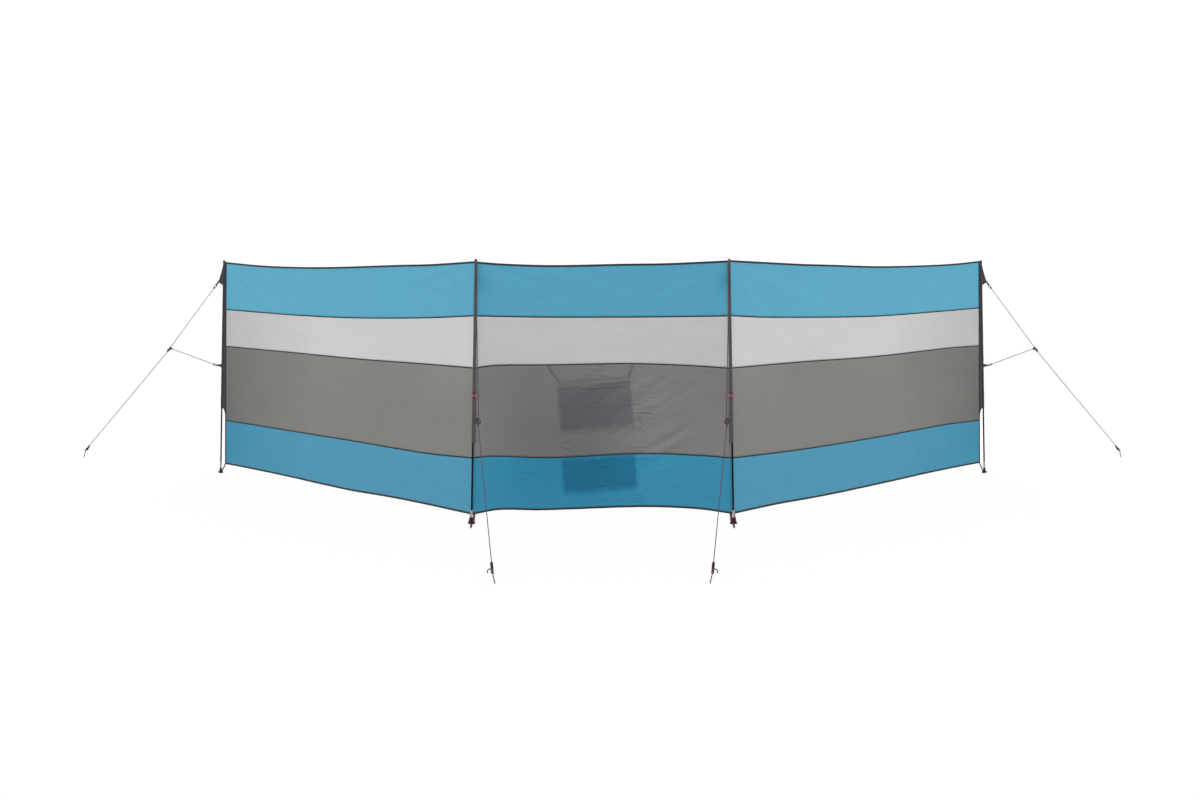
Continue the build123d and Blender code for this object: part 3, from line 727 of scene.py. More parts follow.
metalMaterial("ferrule aluminium", tone(172, 164, 167), 0.36)
metalMaterial("peg steel", tone(48, 40, 42), 0.38, brush=(700, 700, 60))
poleMaterial("glass fibre", tone(8, 9, 12))
cordMaterial("cord strand", tone(80, 68, 72), tone(60, 49, 53))
cordMaterial("cord red strand", tone(86, 53, 63), tone(66, 38, 47))
print("materials made")

# Cloth bands, from the ground up: name, slot
bands = [("bottom_blue", "blue_cloth"), ("dark_grey", "dark_grey_cloth"), ("light_grey", "light_grey_cloth"),
         ("top_blue", "blue_cloth")]
cloth = {"step": 0.011, "thickness": 0.0008, "tuck": 0.0012, "poleGap": 0.0010, "samples": 12,
         "levelPlace": 0.3}         # where along a bay its bands' own heights are read


def makeBand(bay, index):
    name, slotName = bands[index]
    lower, upper = bay["edges"][index:index + 2]
    level = cloth["levelPlace"]
    middleHeight, tall = (lower(level) + upper(level)) / 2, upper(level) - lower(level)
    first = bay["start"](middleHeight)
    length = bay["finish"](middleHeight) - first

    def across(u, height):
        start, finish = bay["start"](height) + cloth["poleGap"], bay["finish"](height) - cloth["poleGap"]
        return start + (finish - start) * u

    def spot(u, v):
        x = across(u, lower(level) + tall * v)
        low, high = lower(x) + cloth["tuck"], upper(x) - cloth["tuck"]
        height = low + (high - low) * v
        return across(u, height), height

    def place(u, v):
        x, height = spot(u, v)
        return bayPoint(bay, x, height, clothLift(bay, x, height))

    bm = bmesh.new()
    gridMesh(bm, round(length / cloth["step"]), round(tall / cloth["step"]), place, spot)
    look = name.replace("_", " ") + " cloth"
    # the middle bay's bands take the darker copies of the cloths, which carry painted shade
    if bay["name"] == "middle":
        look = "middle " + look
    node = f"{bay['name']}_bay_{name}"
    piece = finishPiece(bm, node + "_cloth", [look], [node])
    thicken(piece, cloth["thickness"])
    places = [length * (i + 0.5) / cloth["samples"] + first for i in range(cloth["samples"])]
    return piece, (length, sum(upper(x) - lower(x) for x in places) / cloth["samples"])


# Tapes round the hems, along the seams and down the free ends
hemTape = {"width": 0.012, "seamWidth": 0.0065, "endWidth": 0.012, "step": 0.012, "sides": 12,
           "joinLength": 0.06, "joinSwell": 1.35, "waver": 0.0004,
           "cornerReach": 0.006, "cornerLift": 0.0012, "cornerStep": 0.0018, "cornerRowStep": 0.006,
           "stepReach": (0.012, 0.002),
           "joins": {"left": 0.40, "middle": -0.02, "right": 0.55}}


def tapeShape(index):
    # a tape's width, and how far its middle lies from its edge line
    width = hemTape["width"] if index in (0, 4) else hemTape["seamWidth"]
    return width, {0: width / 2, 4: -width / 2}.get(index, 0)


def tapeSection(v, width, thickness=1.0):
    angle = 2 * pi * v
    return squared(cos(angle), 0.5) * width / 2, squared(sin(angle), 0.6) * thickness / 2


def edgeTape(bm, bay, index):
    edge = bay["edges"][index]
    width, shift = tapeShape(index)
    height0 = edge(cloth["levelPlace"]) + shift
    inset = cloth["poleGap"] * 2
    start = bay["start"](height0) + inset
    finish = bay["finish"](height0) - (inset if bay["name"] == "middle" else hemTape["endWidth"] * 0.9)
    length = finish - start

    def place(u, v):
        x = start + length * u
        thick = windbreak["tapeThickness"]
        if index in (0, 4) and abs(x - hemTape["joins"][bay["name"]]) < hemTape["joinLength"] / 2:
            thick *= hemTape["joinSwell"]
        aside, proud = tapeSection(v, width, thick)
        height = edge(x) + shift + aside
        waver = hemTape["waver"] * noise.noise((x * 40, index * 5.1, bay["seed"]))
        return bayPoint(bay, x, height, clothLift(bay, x, height) + proud + waver)

    closeUp(bm, gridMesh(bm, round(length / hemTape["step"]), hemTape["sides"], place,
                         lambda u, v: (length * u, tapeSection(v, width)[0])))


def endTape(bm, bay):
    low, high = (bay["edges"][index](windbreak["sideLength"]) for index in (0, 4))
    width = hemTape["endWidth"]

    def place(u, v):
        height = low + (high - low) * u
        aside, proud = tapeSection(v, width, windbreak["tapeThickness"])
        x = bay["finish"](height) - width / 2 + aside
        return bayPoint(bay, x, height, proud + clothLift(bay, bay["finish"](height) - width, height) * 0.5)

    closeUp(bm, gridMesh(bm, round((high - low) / hemTape["step"]), hemTape["sides"], place,
                         lambda u, v: ((high - low) * u, tapeSection(v, width)[0])))


def cornerBinding(side):
    # covers the join of two bays from behind, and steps over the tapes it crosses
    left, middle = bays["left"], bays["middle"]
    edges = [edge(-halfFront) for edge in middle["edges"]]
    low, high = edges[0] + 0.001, edges[4] - 0.001

    def behind(height):
        over = 0
        for index, edge in enumerate(edges):
            width, shift = tapeShape(index)
            far, near = (width / 2 + reach for reach in hemTape["stepReach"])
            over = max(over, ease(far, near, abs(height - edge - shift)))
        return hemTape["cornerLift"] + hemTape["cornerStep"] * over

    def spot(u, v):
        return (high - low) * v, (u * 2 - 1) * hemTape["cornerReach"]

    def place(u, v):
        rise, reach = spot(u, v)
        height = low + rise
        bay, lift = left if reach < 0 else middle, behind(height)
        return bayPoint(bay, bay["start"](height) + max(abs(reach), lift * tan(turn / 2)), height, -lift)

    bm = bmesh.new()
    gridMesh(bm, 8, round((high - low) / hemTape["cornerRowStep"]), place, spot)
    piece = finishPiece(bm, f"{side}_corner_binding", ["edge tape"], (), side == "right")
    thicken(piece, cloth["thickness"])


for bayName, bay in bays.items():
    bm = bmesh.new()
    for index in range(5):
        edgeTape(bm, bay, index)
    if bayName != "middle":
        endTape(bm, bay)
    tapes = finishPiece(bm, f"{bayName}_bay_edge_tapes", ["edge tape"],
                        [f"{bayName}_bay_bindings"])
    for index in range(4):
        piece, flat = makeBand(bay, index)
for side in sides:
    cornerBinding(side)
print("bays sewn")

# Poles, and where they stand
sideOut = Vector((-sin(turn), -cos(turn), 0))
frontOut = (sideOut + Vector((0, -1, 0))).normalized()
frontWay = frontOut.cross(-zUp)
sideWay = Vector((cos(turn), -sin(turn), 0))
frontCorner = Vector((-halfFront, frontY, 0))
frontFoot = frontCorner + frontOut * (poleOffset / cos(turn / 2))
endFoot = frontCorner - sideWay * windbreak["sideLength"] + sideOut * poleOffset
for _, _, name, _ in poles:
    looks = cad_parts[name + "pole"].data.materials
    looks.clear()
    looks.append(materials["glass fibre"])

# Sleeves of strong cloth, wrapped round the poles and sewn down beside them
sleeve = {"bottom": 0.45, "radius": 0.0062, "flangeTop": 0.005, "flangeBottom": 0.011, "overlap": 0.006,
          "curl": 0.050, "wrap": radians(112), "thickness": 0.0010, "rows": 90, "wrinkle": 0.0007,
          "proud": 0.0008}
sleeveHeight = windbreak["topHem"] - sleeve["bottom"]
# where it stands and which ways it faces, a flange's share of the way round, once round laid
# flat and in the pattern, columns, and the seeds of its creases
sleeves = {"front": {"foot": frontFoot, "out": frontOut, "aside": frontWay, "flange": 0.2, "flat": 0.0413,
                     "pattern": 0.05, "columns": 26, "seeds": {"left": 31.0, "right": 37.0}},
           "end": {"foot": endFoot, "out": sideOut, "aside": -sideWay, "flange": 0.3, "flat": 0.0585,
                   "pattern": 0.06, "columns": 34, "seeds": {"left": 41.0, "right": 43.0}}}


def sleevePoint(kind, t, height, seed, extra=0.0):
    # the front one goes from the side bay's flange over the pole to the middle bay's, the end
    # one from its flange to the pole and once round it
    shape, wrap = sleeves[kind], sleeve["wrap"]
    flange = shape["flange"]
    if kind == "front":
        angle = (min(max((t - flange) / (1 - 2 * flange), 0), 1) * 2 - 1) * wrap
    else:
        angle = min(max((t - flange) / (1 - flange), 0), 1) * 2 * pi - wrap
    crease = sleeve["wrinkle"] * (0.5 + 0.5 * noise.noise((t * 3, height * 38, seed))
                                  + 0.6 * max(0, noise.noise((t * 1.3, height * 9, seed + 2))))
    around = shape["out"] * cos(angle) + shape["aside"] * sin(angle)
    onPole = (shape["foot"] + poleWay * (height / poleWay.z)
              + around * (sleeve["radius"] + crease + extra))
    if kind == "front" and t > 0.5:
        share, bay = t - 1 + flange, bays["middle"]
    else:
        share, bay = flange - t, bays["left"]
    if share <= 0:
        return onPole
    if kind == "front":
        narrowing = (height - sleeve["bottom"]) / sleeveHeight
        width = sleeve["flangeBottom"] + (sleeve["flangeTop"] - sleeve["flangeBottom"]) * narrowing
        across = bay["start"](height) + width
    else:
        across = bay["finish"](height) - sleeve["overlap"]
    tip = bayPoint(bay, across, height, windbreak["faceGap"] + sleeve["proud"] + extra)
    return onPole.lerp(tip, (share / flange) ** 0.8)


def makeSleeve(side, kind, name, turnOver):
    shape = sleeves[kind]

    def place(u, v):
        bottom = sleeve["bottom"]
        if kind == "end":
            bottom -= sleeve["curl"] * max(0, 1 - u / shape["flange"]) ** 2
        return sleevePoint(kind, u, bottom + (windbreak["topHem"] - bottom) * v, shape["seeds"][side])

    bm = bmesh.new()
    gridMesh(bm, shape["columns"], sleeve["rows"], place,
             lambda u, v: (v * sleeveHeight, u * shape["pattern"]))
    piece = finishPiece(bm, name + "sleeve_cloth", [f"{kind} sleeve cloth"],
                        [name + "sleeve"], turnOver)
    thicken(piece, sleeve["thickness"])


for pole in poles:
    makeSleeve(*pole)
print("sleeves fitted")

# Moulded pieces: the frame's own with their edges rounded over
moulding = {"mergeWithin": 0.00001, "flatAngle": 2, "bevelAngle": 40, "sharpAngle": 50,
            "endFrom": 1.5}         # a cap farther out than this belongs to an end pole


def softened(node, width, looks, segments=2):
    # the second look is the end poles'
    bm = bmesh.new()
    bm.from_mesh(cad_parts[node].data)
    bmesh.ops.remove_doubles(bm, verts=bm.verts, dist=moulding["mergeWithin"])
    bmesh.ops.dissolve_limit(bm, angle_limit=radians(moulding["flatAngle"]), verts=bm.verts, edges=bm.edges)
    for face in bm.faces:
        face.smooth = True
        atEnd = abs(face.calc_center_median().x) > moulding["endFrom"]
        face.material_index = 1 if len(looks) > 1 and atEnd else 0
    piece = finishPiece(bm, node + "_moulding", looks, [node])
    rounding = piece.modifiers.new("rounded edges", "BEVEL")
    rounding.width = width
    rounding.segments = segments
    rounding.limit_method = "ANGLE"
    rounding.angle_limit = radians(moulding["bevelAngle"])
    rounding.harden_normals = False
    piece.data.set_sharp_from_angle(angle=radians(moulding["sharpAngle"]))


for _, _, name, _ in poles:
    softened(name + "foot", 0.0011, ["black plastic"])
softened("pole_caps", 0.0016, ["brown knob plastic", "black plastic"], segments=3)
softened("pole_ferrules", 0.0004, ["ferrule aluminium"])
softened("guy_rings", 0.0010, ["ring plastic"], segments=3)
softened("guy_tensioners", 0.0008, ["tensioner plastic"])
print("mouldings rounded")

# Guy lines. Each lies in an upright plane through its pole; places in it are given as the
# distance out from the pole and the height
guys = {
    "front": {"foot": frontFoot, "heading": -90 + 12, "corner": (0.050, 1.348), "tab": (0.048, 0.722),
              "ring": (0.285, 0.610), "reach": 1.117},
    "end": {"foot": endFoot, "heading": 180 - 25.5, "corner": (0.050, 1.328), "tab": (0.058, 0.747),
            "ring": (0.500, 0.843), "reach": 1.370},
}
cord = {"radius": 0.0023, "lay": 0.013, "step": 0.0022, "strands": 3, "strandOut": 0.5, "strandSize": 0.56,
        "legSpacing": 0.010, "ringHeight": 0.023, "ringWire": 0.0045, "loopHeight": 0.050, "strap": 0.034,
        "strapWidth": 0.012, "strapEye": 0.017, "tabEye": 0.012, "eyeReach": 0.020, "eyeKnot": 0.022,
        "ringKnot": 0.013, "underKnot": 0.004, "lineStart": 0.008, "tensioner": 0.046,
        "tensionerThickness": 0.0045, "holeInset": 0.0065, "loopLength": 0.024, "pegRoom": 0.006,
        "loopSlack": 0.0012, "seat": 0.0003}
# a knot's turns, its length along the cord, and the radius inside its turns
knots = {"long": (3, 0.011, cord["radius"] * 0.7), "short": (2, 0.008, cord["radius"] * 0.7),
         "ring": (1.25, 0.0045, cord["ringWire"] / 2), "stopper": (2, 0.005, cord["radius"] * 0.5)}
# the main line goes over the tensioner's end, down through the first hole, under the plate and
# round the peg, then up through the second hole: which place, how far along the line from it,
# how many stand-offs out from the plate, and how far aside
runIn = [("end", -0.014, 0.5, 0), ("first", -0.004, 1, 0), ("first", -0.0005, 0.5, 0),
         ("first", 0.0005, -0.5, 0), ("first", 0.006, -1, 0.00168), ("second", -0.004, -1, 0.0042),
         ("second", 0.009, -0.6, 0.0042)]
runBack = [("second", 0.009, 0.7, -0.002), ("second", 0.003, 1, 0), ("second", 0, 0.4, 0),
           ("second", 0, -0.9, 0)]
peg = {"wire": 0.0025, "lean": 13, "shaft": 0.059, "hook": 0.0105, "tip": 0.005, "start": 0.0005,
       "hookSteps": 20, "sides": 14}
gusset = {"topDrop": 0.008, "bottomDrop": 0.160, "thickness": 0.0012, "hem": 0.0013, "hollow": 1.25,
          "lowerHollow": 0.8, "tuck": 0.0008, "ripple": 0.0012, "columns": 12, "rows": 28, "rimSteps": 24,
          "filled": 0.45}           # its cloth's share of its height times its reach
# how a strap lies on its way out to its fold: back from the fold, and aside
strapFold = [(0.058, 0.0016), (0.029, 0.0016), (0.006, 0.0016), (0.003, 0.0026), (0.0004, 0.0016), (0, 0)]
# the tab's last steps to its fold, and where on its way it is still flat
midTab = {"fold": [(0.006, 0.0022), (0.0005, 0.0016), (0, 0)], "gap": 0.0014, "flatTo": 0.55,
          "start": 0.001, "thickness": 0.0012, "step": 0.002, "proud": 0.0012, "below": 0.004,
          "narrow": 0.010, "flare": 0.016, "patchColumns": 24, "patchRows": 10,
          "front": {"tall": 0.038, "from": 0.10, "to": 0.90, "looks": ["tab webbing", "faded webbing"],
                    "slot": "red_webbing"},
          "end": {"tall": 0.030, "from": 0.16, "to": 0.94, "looks": ["dark webbing"], "slot": "sleeve_cloth"},
          "bar": {"below": 0.006, "reach": 0.024, "proud": 0.0042, "overSleeve": 0.0030, "width": 0.014}}


def layOutGuy(guy):
    way = headed(guy["heading"])
    lateral = way.cross(poleWay).normalized()
    up = lateral.cross(way).normalized()
    leanIn = poleWay.dot(way) / poleWay.dot(up)

    def at(reach, height, aside=0.0):
        return guy["foot"] + way * reach + up * height + lateral * aside

    def fromPole(reach, height, aside=0.0):
        return at(reach + leanIn * height, height, aside)

    corner, ring, loop = fromPole(*guy["corner"]), at(*guy["ring"]), at(guy["reach"], cord["loopHeight"])
    upperWay, lineWay = (ring - corner).normalized(), (loop - ring).normalized()
    halfRing = lineWay * ((cord["ringHeight"] - cord["ringWire"]) / 2)
    # the loop reaches from round the peg back to the tensioner
    past = cord["radius"] * 2 + cord["pegRoom"] - cord["loopLength"] - cord["seat"]
    return {**guy, "lateral": lateral, "upperWay": upperWay, "lineWay": lineWay, "fromPole": fromPole,
            "plateWay": lateral.cross(lineWay).normalized(), "strapTip": corner + upperWay * cord["strap"],
            "tabTip": fromPole(*guy["tab"]), "loop": loop, "ringTop": ring - halfRing,
            "ringLow": ring + halfRing, "tensionerLow": loop + lineWay * past}


def twistedCord(bm, points):
    # strands laid round each other, the first of them red
    frames = pathFrames(evenPoints(points, cord["step"]))
    for strand in range(cord["strands"]):
        centres = []
        for i, (point, first, second) in enumerate(frames):
            angle = 2 * pi * (strand / cord["strands"] + i * cord["step"] / cord["lay"])
            aside = (first * cos(angle) + second * sin(angle)) * cord["radius"] * cord["strandOut"]
            centres.append(point + aside)
        tube(bm, centres, cord["radius"] * cord["strandSize"], 6, materialIndex=0 if strand else 1)


def tie(bm, kind, centre, axis, hint):
    # the turns of a knot round an axis
    turns, rise, inner = knots[kind]
    first, second = sideSteps(axis, hint)
    count, size = round(turns * 14), inner + cord["radius"]
    path = []
    for i in range(count + 1):
        angle = 2 * pi * turns * i / count
        aside = (first * cos(angle) + second * sin(angle)) * size
        path.append(centre + axis * rise * (i / count - 0.5) + aside)
    twistedCord(bm, path)


def eyeLoop(bm, tip, way, side, half):
    # the cord's bight, through an eye and back into its own knot
    reach = cord["eyeReach"]
    there = [(reach, 0.0012), (reach * 0.55, half * 0.75), (reach * 0.1, half), (-0.002, half * 0.8)]
    back = [(along, -aside) for along, aside in reversed(there)]
    twistedCord(bm, [tip + way * along + side * aside for along, aside in [*there, (-0.003, 0), *back]])


def guyCord(bm, laid):
    lateral, lineWay, plate = laid["lateral"], laid["lineWay"], laid["plateWay"]
    for start, eye, aside in ((laid["strapTip"], cord["strapEye"], -1), (laid["tabTip"], cord["tabEye"], 1)):
        finish = laid["ringTop"] + lateral * aside * cord["legSpacing"] / 2
        way = (finish - start).normalized()
        knot, under = start + way * cord["eyeKnot"], way * cord["underKnot"]
        eyeLoop(bm, start, way, way.cross(lateral).normalized(), eye / 2)
        tie(bm, "long", knot, way, lateral)
        twistedCord(bm, [knot - under, knot.lerp(finish, 0.5), finish - under])
        tie(bm, "ring", finish, lateral, lineWay)
        tie(bm, "short", finish - way * cord["ringKnot"], way, lateral)
    low = laid["ringLow"]
    tie(bm, "ring", low, lateral, lineWay)
    tie(bm, "long", low + lineWay * cord["ringKnot"], lineWay, lateral)
    end = laid["tensionerLow"] - lineWay * cord["tensioner"]
    places = {"end": end, "first": end + lineWay * cord["holeInset"],
              "second": laid["tensionerLow"] - lineWay * cord["holeInset"]}
    out = cord["tensionerThickness"] / 2 + cord["radius"] * 1.2
    half = peg["wire"] + cord["radius"] + cord["loopSlack"]
    bend = [laid["loop"] + lineWay * (half * cos(a)) * 0.8 + lateral * half * sin(a)
            for a in (pi / 2, pi / 4, 0, -pi / 4, -pi / 2)]
    before, after = ([places[place] + lineWay * along + plate * out * off + lateral * aside
                      for place, along, off, aside in run] for run in (runIn, runBack))
    twistedCord(bm, [low + lineWay * cord["lineStart"], low.lerp(end, 0.5), *before, *bend, *after])
    tie(bm, "stopper", places["second"] - plate * out * 1.3 - lateral * 0.0012, plate, lateral)


def pegPath(laid):
    tilt = radians(peg["lean"])
    level = Vector((laid["lateral"].x, laid["lateral"].y, 0)).normalized()
    ground = Vector((laid["loop"].x, laid["loop"].y, 0)) - level * tan(tilt) * laid["loop"].z
    up = level * sin(tilt) + zUp * cos(tilt)
    across = up.cross(level.cross(zUp)).normalized()
    if across.dot(level) < 0:
        across.negate()
    top = ground + (level * tan(tilt) + zUp) * peg["shaft"]
    hub, steps = top + across * peg["hook"], peg["hookSteps"]
    angles = [pi * i / steps for i in range(steps + 1)]
    hook = [hub + (-across * cos(angle) + up * sin(angle)) * peg["hook"] for angle in angles]
    return [ground + up * peg["start"], ground.lerp(top, 0.5), *hook, hook[-1] - up * peg["tip"]]


def makeGusset(bm, laid):
    top, bottom = (windbreak["topHem"] - gusset[drop] for drop in ("topDrop", "bottomDrop"))
    reach, height = laid["corner"]
    near = windbreak["sleeveRadius"] - gusset["tuck"]

    def rim(v):
        level = top + (bottom - top) * v
        if level > height:
            out = ((top - level) / (top - height)) ** gusset["hollow"]
        else:
            out = ((level - bottom) / (height - bottom)) ** gusset["lowerHollow"]
        return near + (reach - near) * out, level

    def place(u, v):
        far, level = rim(v)
        ripple = gusset["ripple"] * noise.noise((u * 3, v * 7, reach * 90)) * u * (1 - u) * 4
        return laid["fromPole"](near + (far - near) * u, level, ripple)

    verts = gridMesh(bm, gusset["columns"], gusset["rows"], place,
                     lambda u, v: (u * reach, v * (top - bottom)))
    bmesh.ops.remove_doubles(bm, verts=verts, dist=0.00005)
    steps = gusset["rimSteps"]
    return [laid["fromPole"](*rim(i / steps)) for i in range(steps + 1)]


def foldedPath(at, steps):
    # a strap's path out to its fold, and back on its other side
    back = [(reach, -aside) for reach, aside in steps[-2::-1]]
    return evenPoints([at(reach, aside) for reach, aside in steps + back], midTab["step"])


def gussetTrim(bm, laid, rimPoints):
    tube(bm, rimPoints, gusset["hem"], 8)
    way, lateral = laid["upperWay"], laid["lateral"]
    path = foldedPath(lambda reach, aside: laid["strapTip"] - way * reach + lateral * aside, strapFold)
    tape(bm, path, way.cross(lateral).normalized(), cord["strapWidth"], midTab["thickness"])


def tabWebbing(bm, laid, kind, seed):
    # a patch round the sleeve, and the folded tab that stands out from it
    farthest, level = laid["tab"]
    tall, low, high = (midTab[kind][key] for key in ("tall", "from", "to"))

    def patch(u, v):
        height = level - midTab["below"] + tall * (v - 0.5)
        return sleevePoint(kind, low + (high - low) * u, height, seed, midTab["proud"])

    gridMesh(bm, midTab["patchColumns"], midTab["patchRows"], patch,
             lambda u, v: (u * 0.04, (v - 0.5) * tall))
    if kind == "front":
        # a bar of webbing over the sleeve, sewn to both bays
        bar = midTab["bar"]
        drop = zUp * bar["below"]
        arms = [bayPoint(bay, bay["start"](level) + bar["reach"], level, bar["proud"]) - drop
                for bay in (bays["left"], bays["middle"])]
        over = [sleevePoint(kind, i / 20, level - bar["below"], seed, bar["overSleeve"]) for i in range(21)]
        path = evenPoints([arms[0], *over, arms[1]], midTab["step"])
        tape(bm, path, zUp, bar["width"], midTab["thickness"], 1)
    length, gap = farthest - windbreak["sleeveRadius"] - midTab["start"], midTab["gap"]
    steps = [(length, gap), (length * (1 - midTab["flatTo"]), gap), *midTab["fold"]]
    path = foldedPath(lambda reach, aside: laid["fromPole"](farthest - reach, level, aside), steps)
    tape(bm, path, zUp, lambda v: midTab["narrow"] + midTab["flare"] * abs(2 * v - 1) ** 2,
         midTab["thickness"])


guyLaid = {kind: layOutGuy(guy) for kind, guy in guys.items()}
for side, kind, name, turnOver in poles:
    laid = guyLaid[kind]
    bm = bmesh.new()
    guyCord(bm, laid)
    finishPiece(bm, name + "guy_cord", ["cord strand", "cord red strand"], [name + "guy_line"],
                turnOver)
    bm = bmesh.new()
    rimPoints = makeGusset(bm, laid)
    panel = finishPiece(bm, name + "gusset_cloth", ["end sleeve cloth"], [name + "gusset"],
                        turnOver)
    thicken(panel, gusset["thickness"])
    bm = bmesh.new()
    gussetTrim(bm, laid, rimPoints)
    trim = finishPiece(bm, name + "gusset_trim", ["dark webbing"], (), turnOver)
    flat = (laid["corner"][0], gusset["bottomDrop"] - gusset["topDrop"])
for side, kind, name, turnOver in poles:
    bm = bmesh.new()
    tabWebbing(bm, guyLaid[kind], kind, sleeves[kind]["seeds"][side])
    finishPiece(bm, name + "mid_tab", midTab[kind]["looks"], ["mid_tabs"], turnOver)
for _, kind, name, turnOver in poles:
    bm = bmesh.new()
    tube(bm, pegPath(guyLaid[kind]), peg["wire"], peg["sides"])
    finishPiece(bm, name + "peg", ["peg steel"], ["guy_pegs"], turnOver)
print("guys rigged")

# Red webbing from the lower corners to the feet
footStrap = {"width": 0.012, "thickness": 0.0016, "spread": 0.011, "overlap": 0.005, "bow": 0.0012,
             "step": 0.004, "lobe": 0.006, "lobeSpacing": 0.027,
             "tail": 0.093, "tailTip": 0.009, "tailHeading": -90 + 5, "tailStart": 0.006, "tailSlack": 1.03,
             "tailGap": 0.0002, "swell": 1.15, "sealed": 0.74,
             # how high the loose end lies along its run
             "tailRun": [(0.0, 0.004), (0.2, 0.0022), (0.35, 0.0022), (0.6, 0.0008), (0.85, 0.0),
                         (1.0, 0.0012)]}


def makeFootStraps(side):
    bm = bmesh.new()
    left, middle = bays["left"], bays["middle"]
    width, thickness, step = footStrap["width"], footStrap["thickness"], footStrap["step"]
    hang, endHang = (bays[side]["edges"][0](place) - thickness for place in (0, windbreak["sideLength"]))
    lobeOut = footStrap["lobeSpacing"] / 2
    # a strap's bay, height and place at the hem, its end on the foot, and the way its width goes
    for bay, height, place, end, across in (
            (left, hang, left["start"](hang) + footStrap["spread"], frontFoot - frontWay * lobeOut, sideWay),
            (middle, hang, middle["start"](hang) + footStrap["spread"], frontFoot + frontWay * lobeOut,
             middle["along"]),
            (left, endHang, left["finish"](endHang) - width / 2, endFoot + sideWay * lobeOut, sideWay)):
        start, end = bayPoint(bay, place, height), end + zUp * (footStrap["lobe"] * 2 + thickness / 2)
        bowed = start.lerp(end, 0.5) + frontOut * footStrap["bow"]
        tape(bm, evenPoints([start + zUp * footStrap["overlap"], bowed, end], step), across, width, thickness)
    tailWay = headed(footStrap["tailHeading"])
    root = frontFoot + tailWay * footStrap["tailStart"] + zUp * (thickness / 2 + footStrap["tailGap"])
    run = [root + tailWay * footStrap["tail"] * share * footStrap["tailSlack"] + zUp * rise
           for share, rise in footStrap["tailRun"]]
    tail = evenPoints(run, step)
    last = len(tail) - 1
    cut = round(last * footStrap["sealed"])
    # the red run, and the sealed end
    for first, finish, swell, look in ((0, cut, 1, 0), (cut, last, footStrap["swell"], 1)):
        def widthAt(v):
            share = (first + (finish - first) * v) / last
            return width * footStrap["swell"] * (1 - share) + footStrap["tailTip"] * share
        tape(bm, tail[first:finish + 1], tailWay.cross(zUp), widthAt, thickness * swell, look)
    finishPiece(bm, f"{side}_foot_webbing", ["red webbing", "black plastic"], ["foot_straps"],
                side == "right")


for side in sides:
    makeFootStraps(side)

# Organiser behind the middle bay
tilt = radians(organiserLook["tilt"])
organiserAcross = Vector((cos(tilt), 0, sin(tilt)))
organiserUp = Vector((-sin(tilt), 0, cos(tilt)))
organiserOrigin = Vector((organiserLook["centre"], frontY + windbreak["faceGap"], organiserLook["rim"]))
pouch = {"corner": 0.022, "thickness": 0.0014, "columns": 96, "rows": 34, "pleats": 3, "inset": 0.001,
         "depthInset": 0.002, "rimDepth": 0.80, "flattened": 0.86, "pleatDepth": 0.30, "wrinkle": 0.0022,
         "binding": 0.0021, "bindingDrop": 0.004, "seam": 0.0011, "seamProud": 0.0006, "seamSteps": 12,
         "seamFrom": 0.03, "seamRun": 0.90, "patternSpare": 0.06, "flatSpare": 0.05}


def organiserPoint(x, y, depth):
    return organiserOrigin + organiserAcross * x + organiserUp * y + Vector((0, depth, 0))


def makePouch(name, rim, tall, node, seed):
    half = organiserLook["width"] / 2 - pouch["inset"]

    def place(u, v):
        # rows run from the rim down to the bottom seam, columns once round the pouch
        down = v * (tall - pouch["inset"])
        low = max(0, down - (tall - pouch["corner"])) / pouch["corner"]
        wide = half - pouch["corner"] * (1 - (1 - min(low, 1) ** 2) ** 0.5)
        deep = organiserLook["depth"] - pouch["depthInset"]
        deep *= pouch["rimDepth"] + (1 - pouch["rimDepth"]) * ease(0, 0.4, v)
        deep *= 1 - pouch["flattened"] * ease(0.78, 1.0, v) ** 1.6
        x = squared(cos(2 * pi * u), 0.28) * wide
        side = squared(sin(2 * pi * u), 0.32)
        depth = pouch["inset"] + deep * (0.5 + 0.5 * side)
        if side > 0:
            share = x / max(wide, 0.001)
            panels = abs(sin(pi * (share * 0.5 + 0.5) * pouch["pleats"])) ** 0.7
            depth -= deep * pouch["pleatDepth"] * side * (1 - panels) * ease(0.04, 0.3, v)
            depth -= pouch["wrinkle"] * side * (0.5 + 0.5 * noise.noise((x * 14, down * 22, seed)))
        return organiserPoint(x, rim - down, max(depth, 0.0008))

    bm = bmesh.new()
    verts = gridMesh(bm, pouch["columns"], pouch["rows"], place,
                     lambda u, v: (u * (half * 4 + pouch["patternSpare"]), v * tall))
    bmesh.ops.remove_doubles(bm, verts=verts, dist=0.00004)
    bottom = [edge for edge in openEdges(verts) if all(
        (vertex.co - organiserOrigin).dot(organiserUp) < rim - tall * 0.9 for vertex in edge.verts)]
    bmesh.ops.holes_fill(bm, edges=bottom, sides=0)
    piece = finishPiece(bm, name, ["pocket cloth"], [node])
    thicken(piece, pouch["thickness"])
    bm = bmesh.new()
    columns, steps = pouch["columns"], pouch["seamSteps"]
    ring = [place(i / columns, 0) - organiserUp * pouch["bindingDrop"] for i in range(columns + 1)]
    tube(bm, ring, pouch["binding"], 8)
    for pleat in range(1, pouch["pleats"]):
        x = (pleat / pouch["pleats"] * 2 - 1) * half
        downs = [pouch["seamFrom"] + pouch["seamRun"] * i / steps for i in range(steps + 1)]
        seam = [place(seamShare(place, x, v), v) + Vector((0, pouch["seamProud"], 0)) for v in downs]
        tube(bm, seam, pouch["seam"], 8)
    trim = finishPiece(bm, name + "_binding", ["dark webbing"])


def seamShare(place, x, v):
    # where round the pouch its outer face crosses a line
    low, high = 0.0, 0.5
    for _ in range(24):
        mid = (low + high) / 2
        at = (place(mid, v) - organiserOrigin).dot(organiserAcross)
        low, high = (mid, high) if at > x else (low, mid)
    return (low + high) / 2


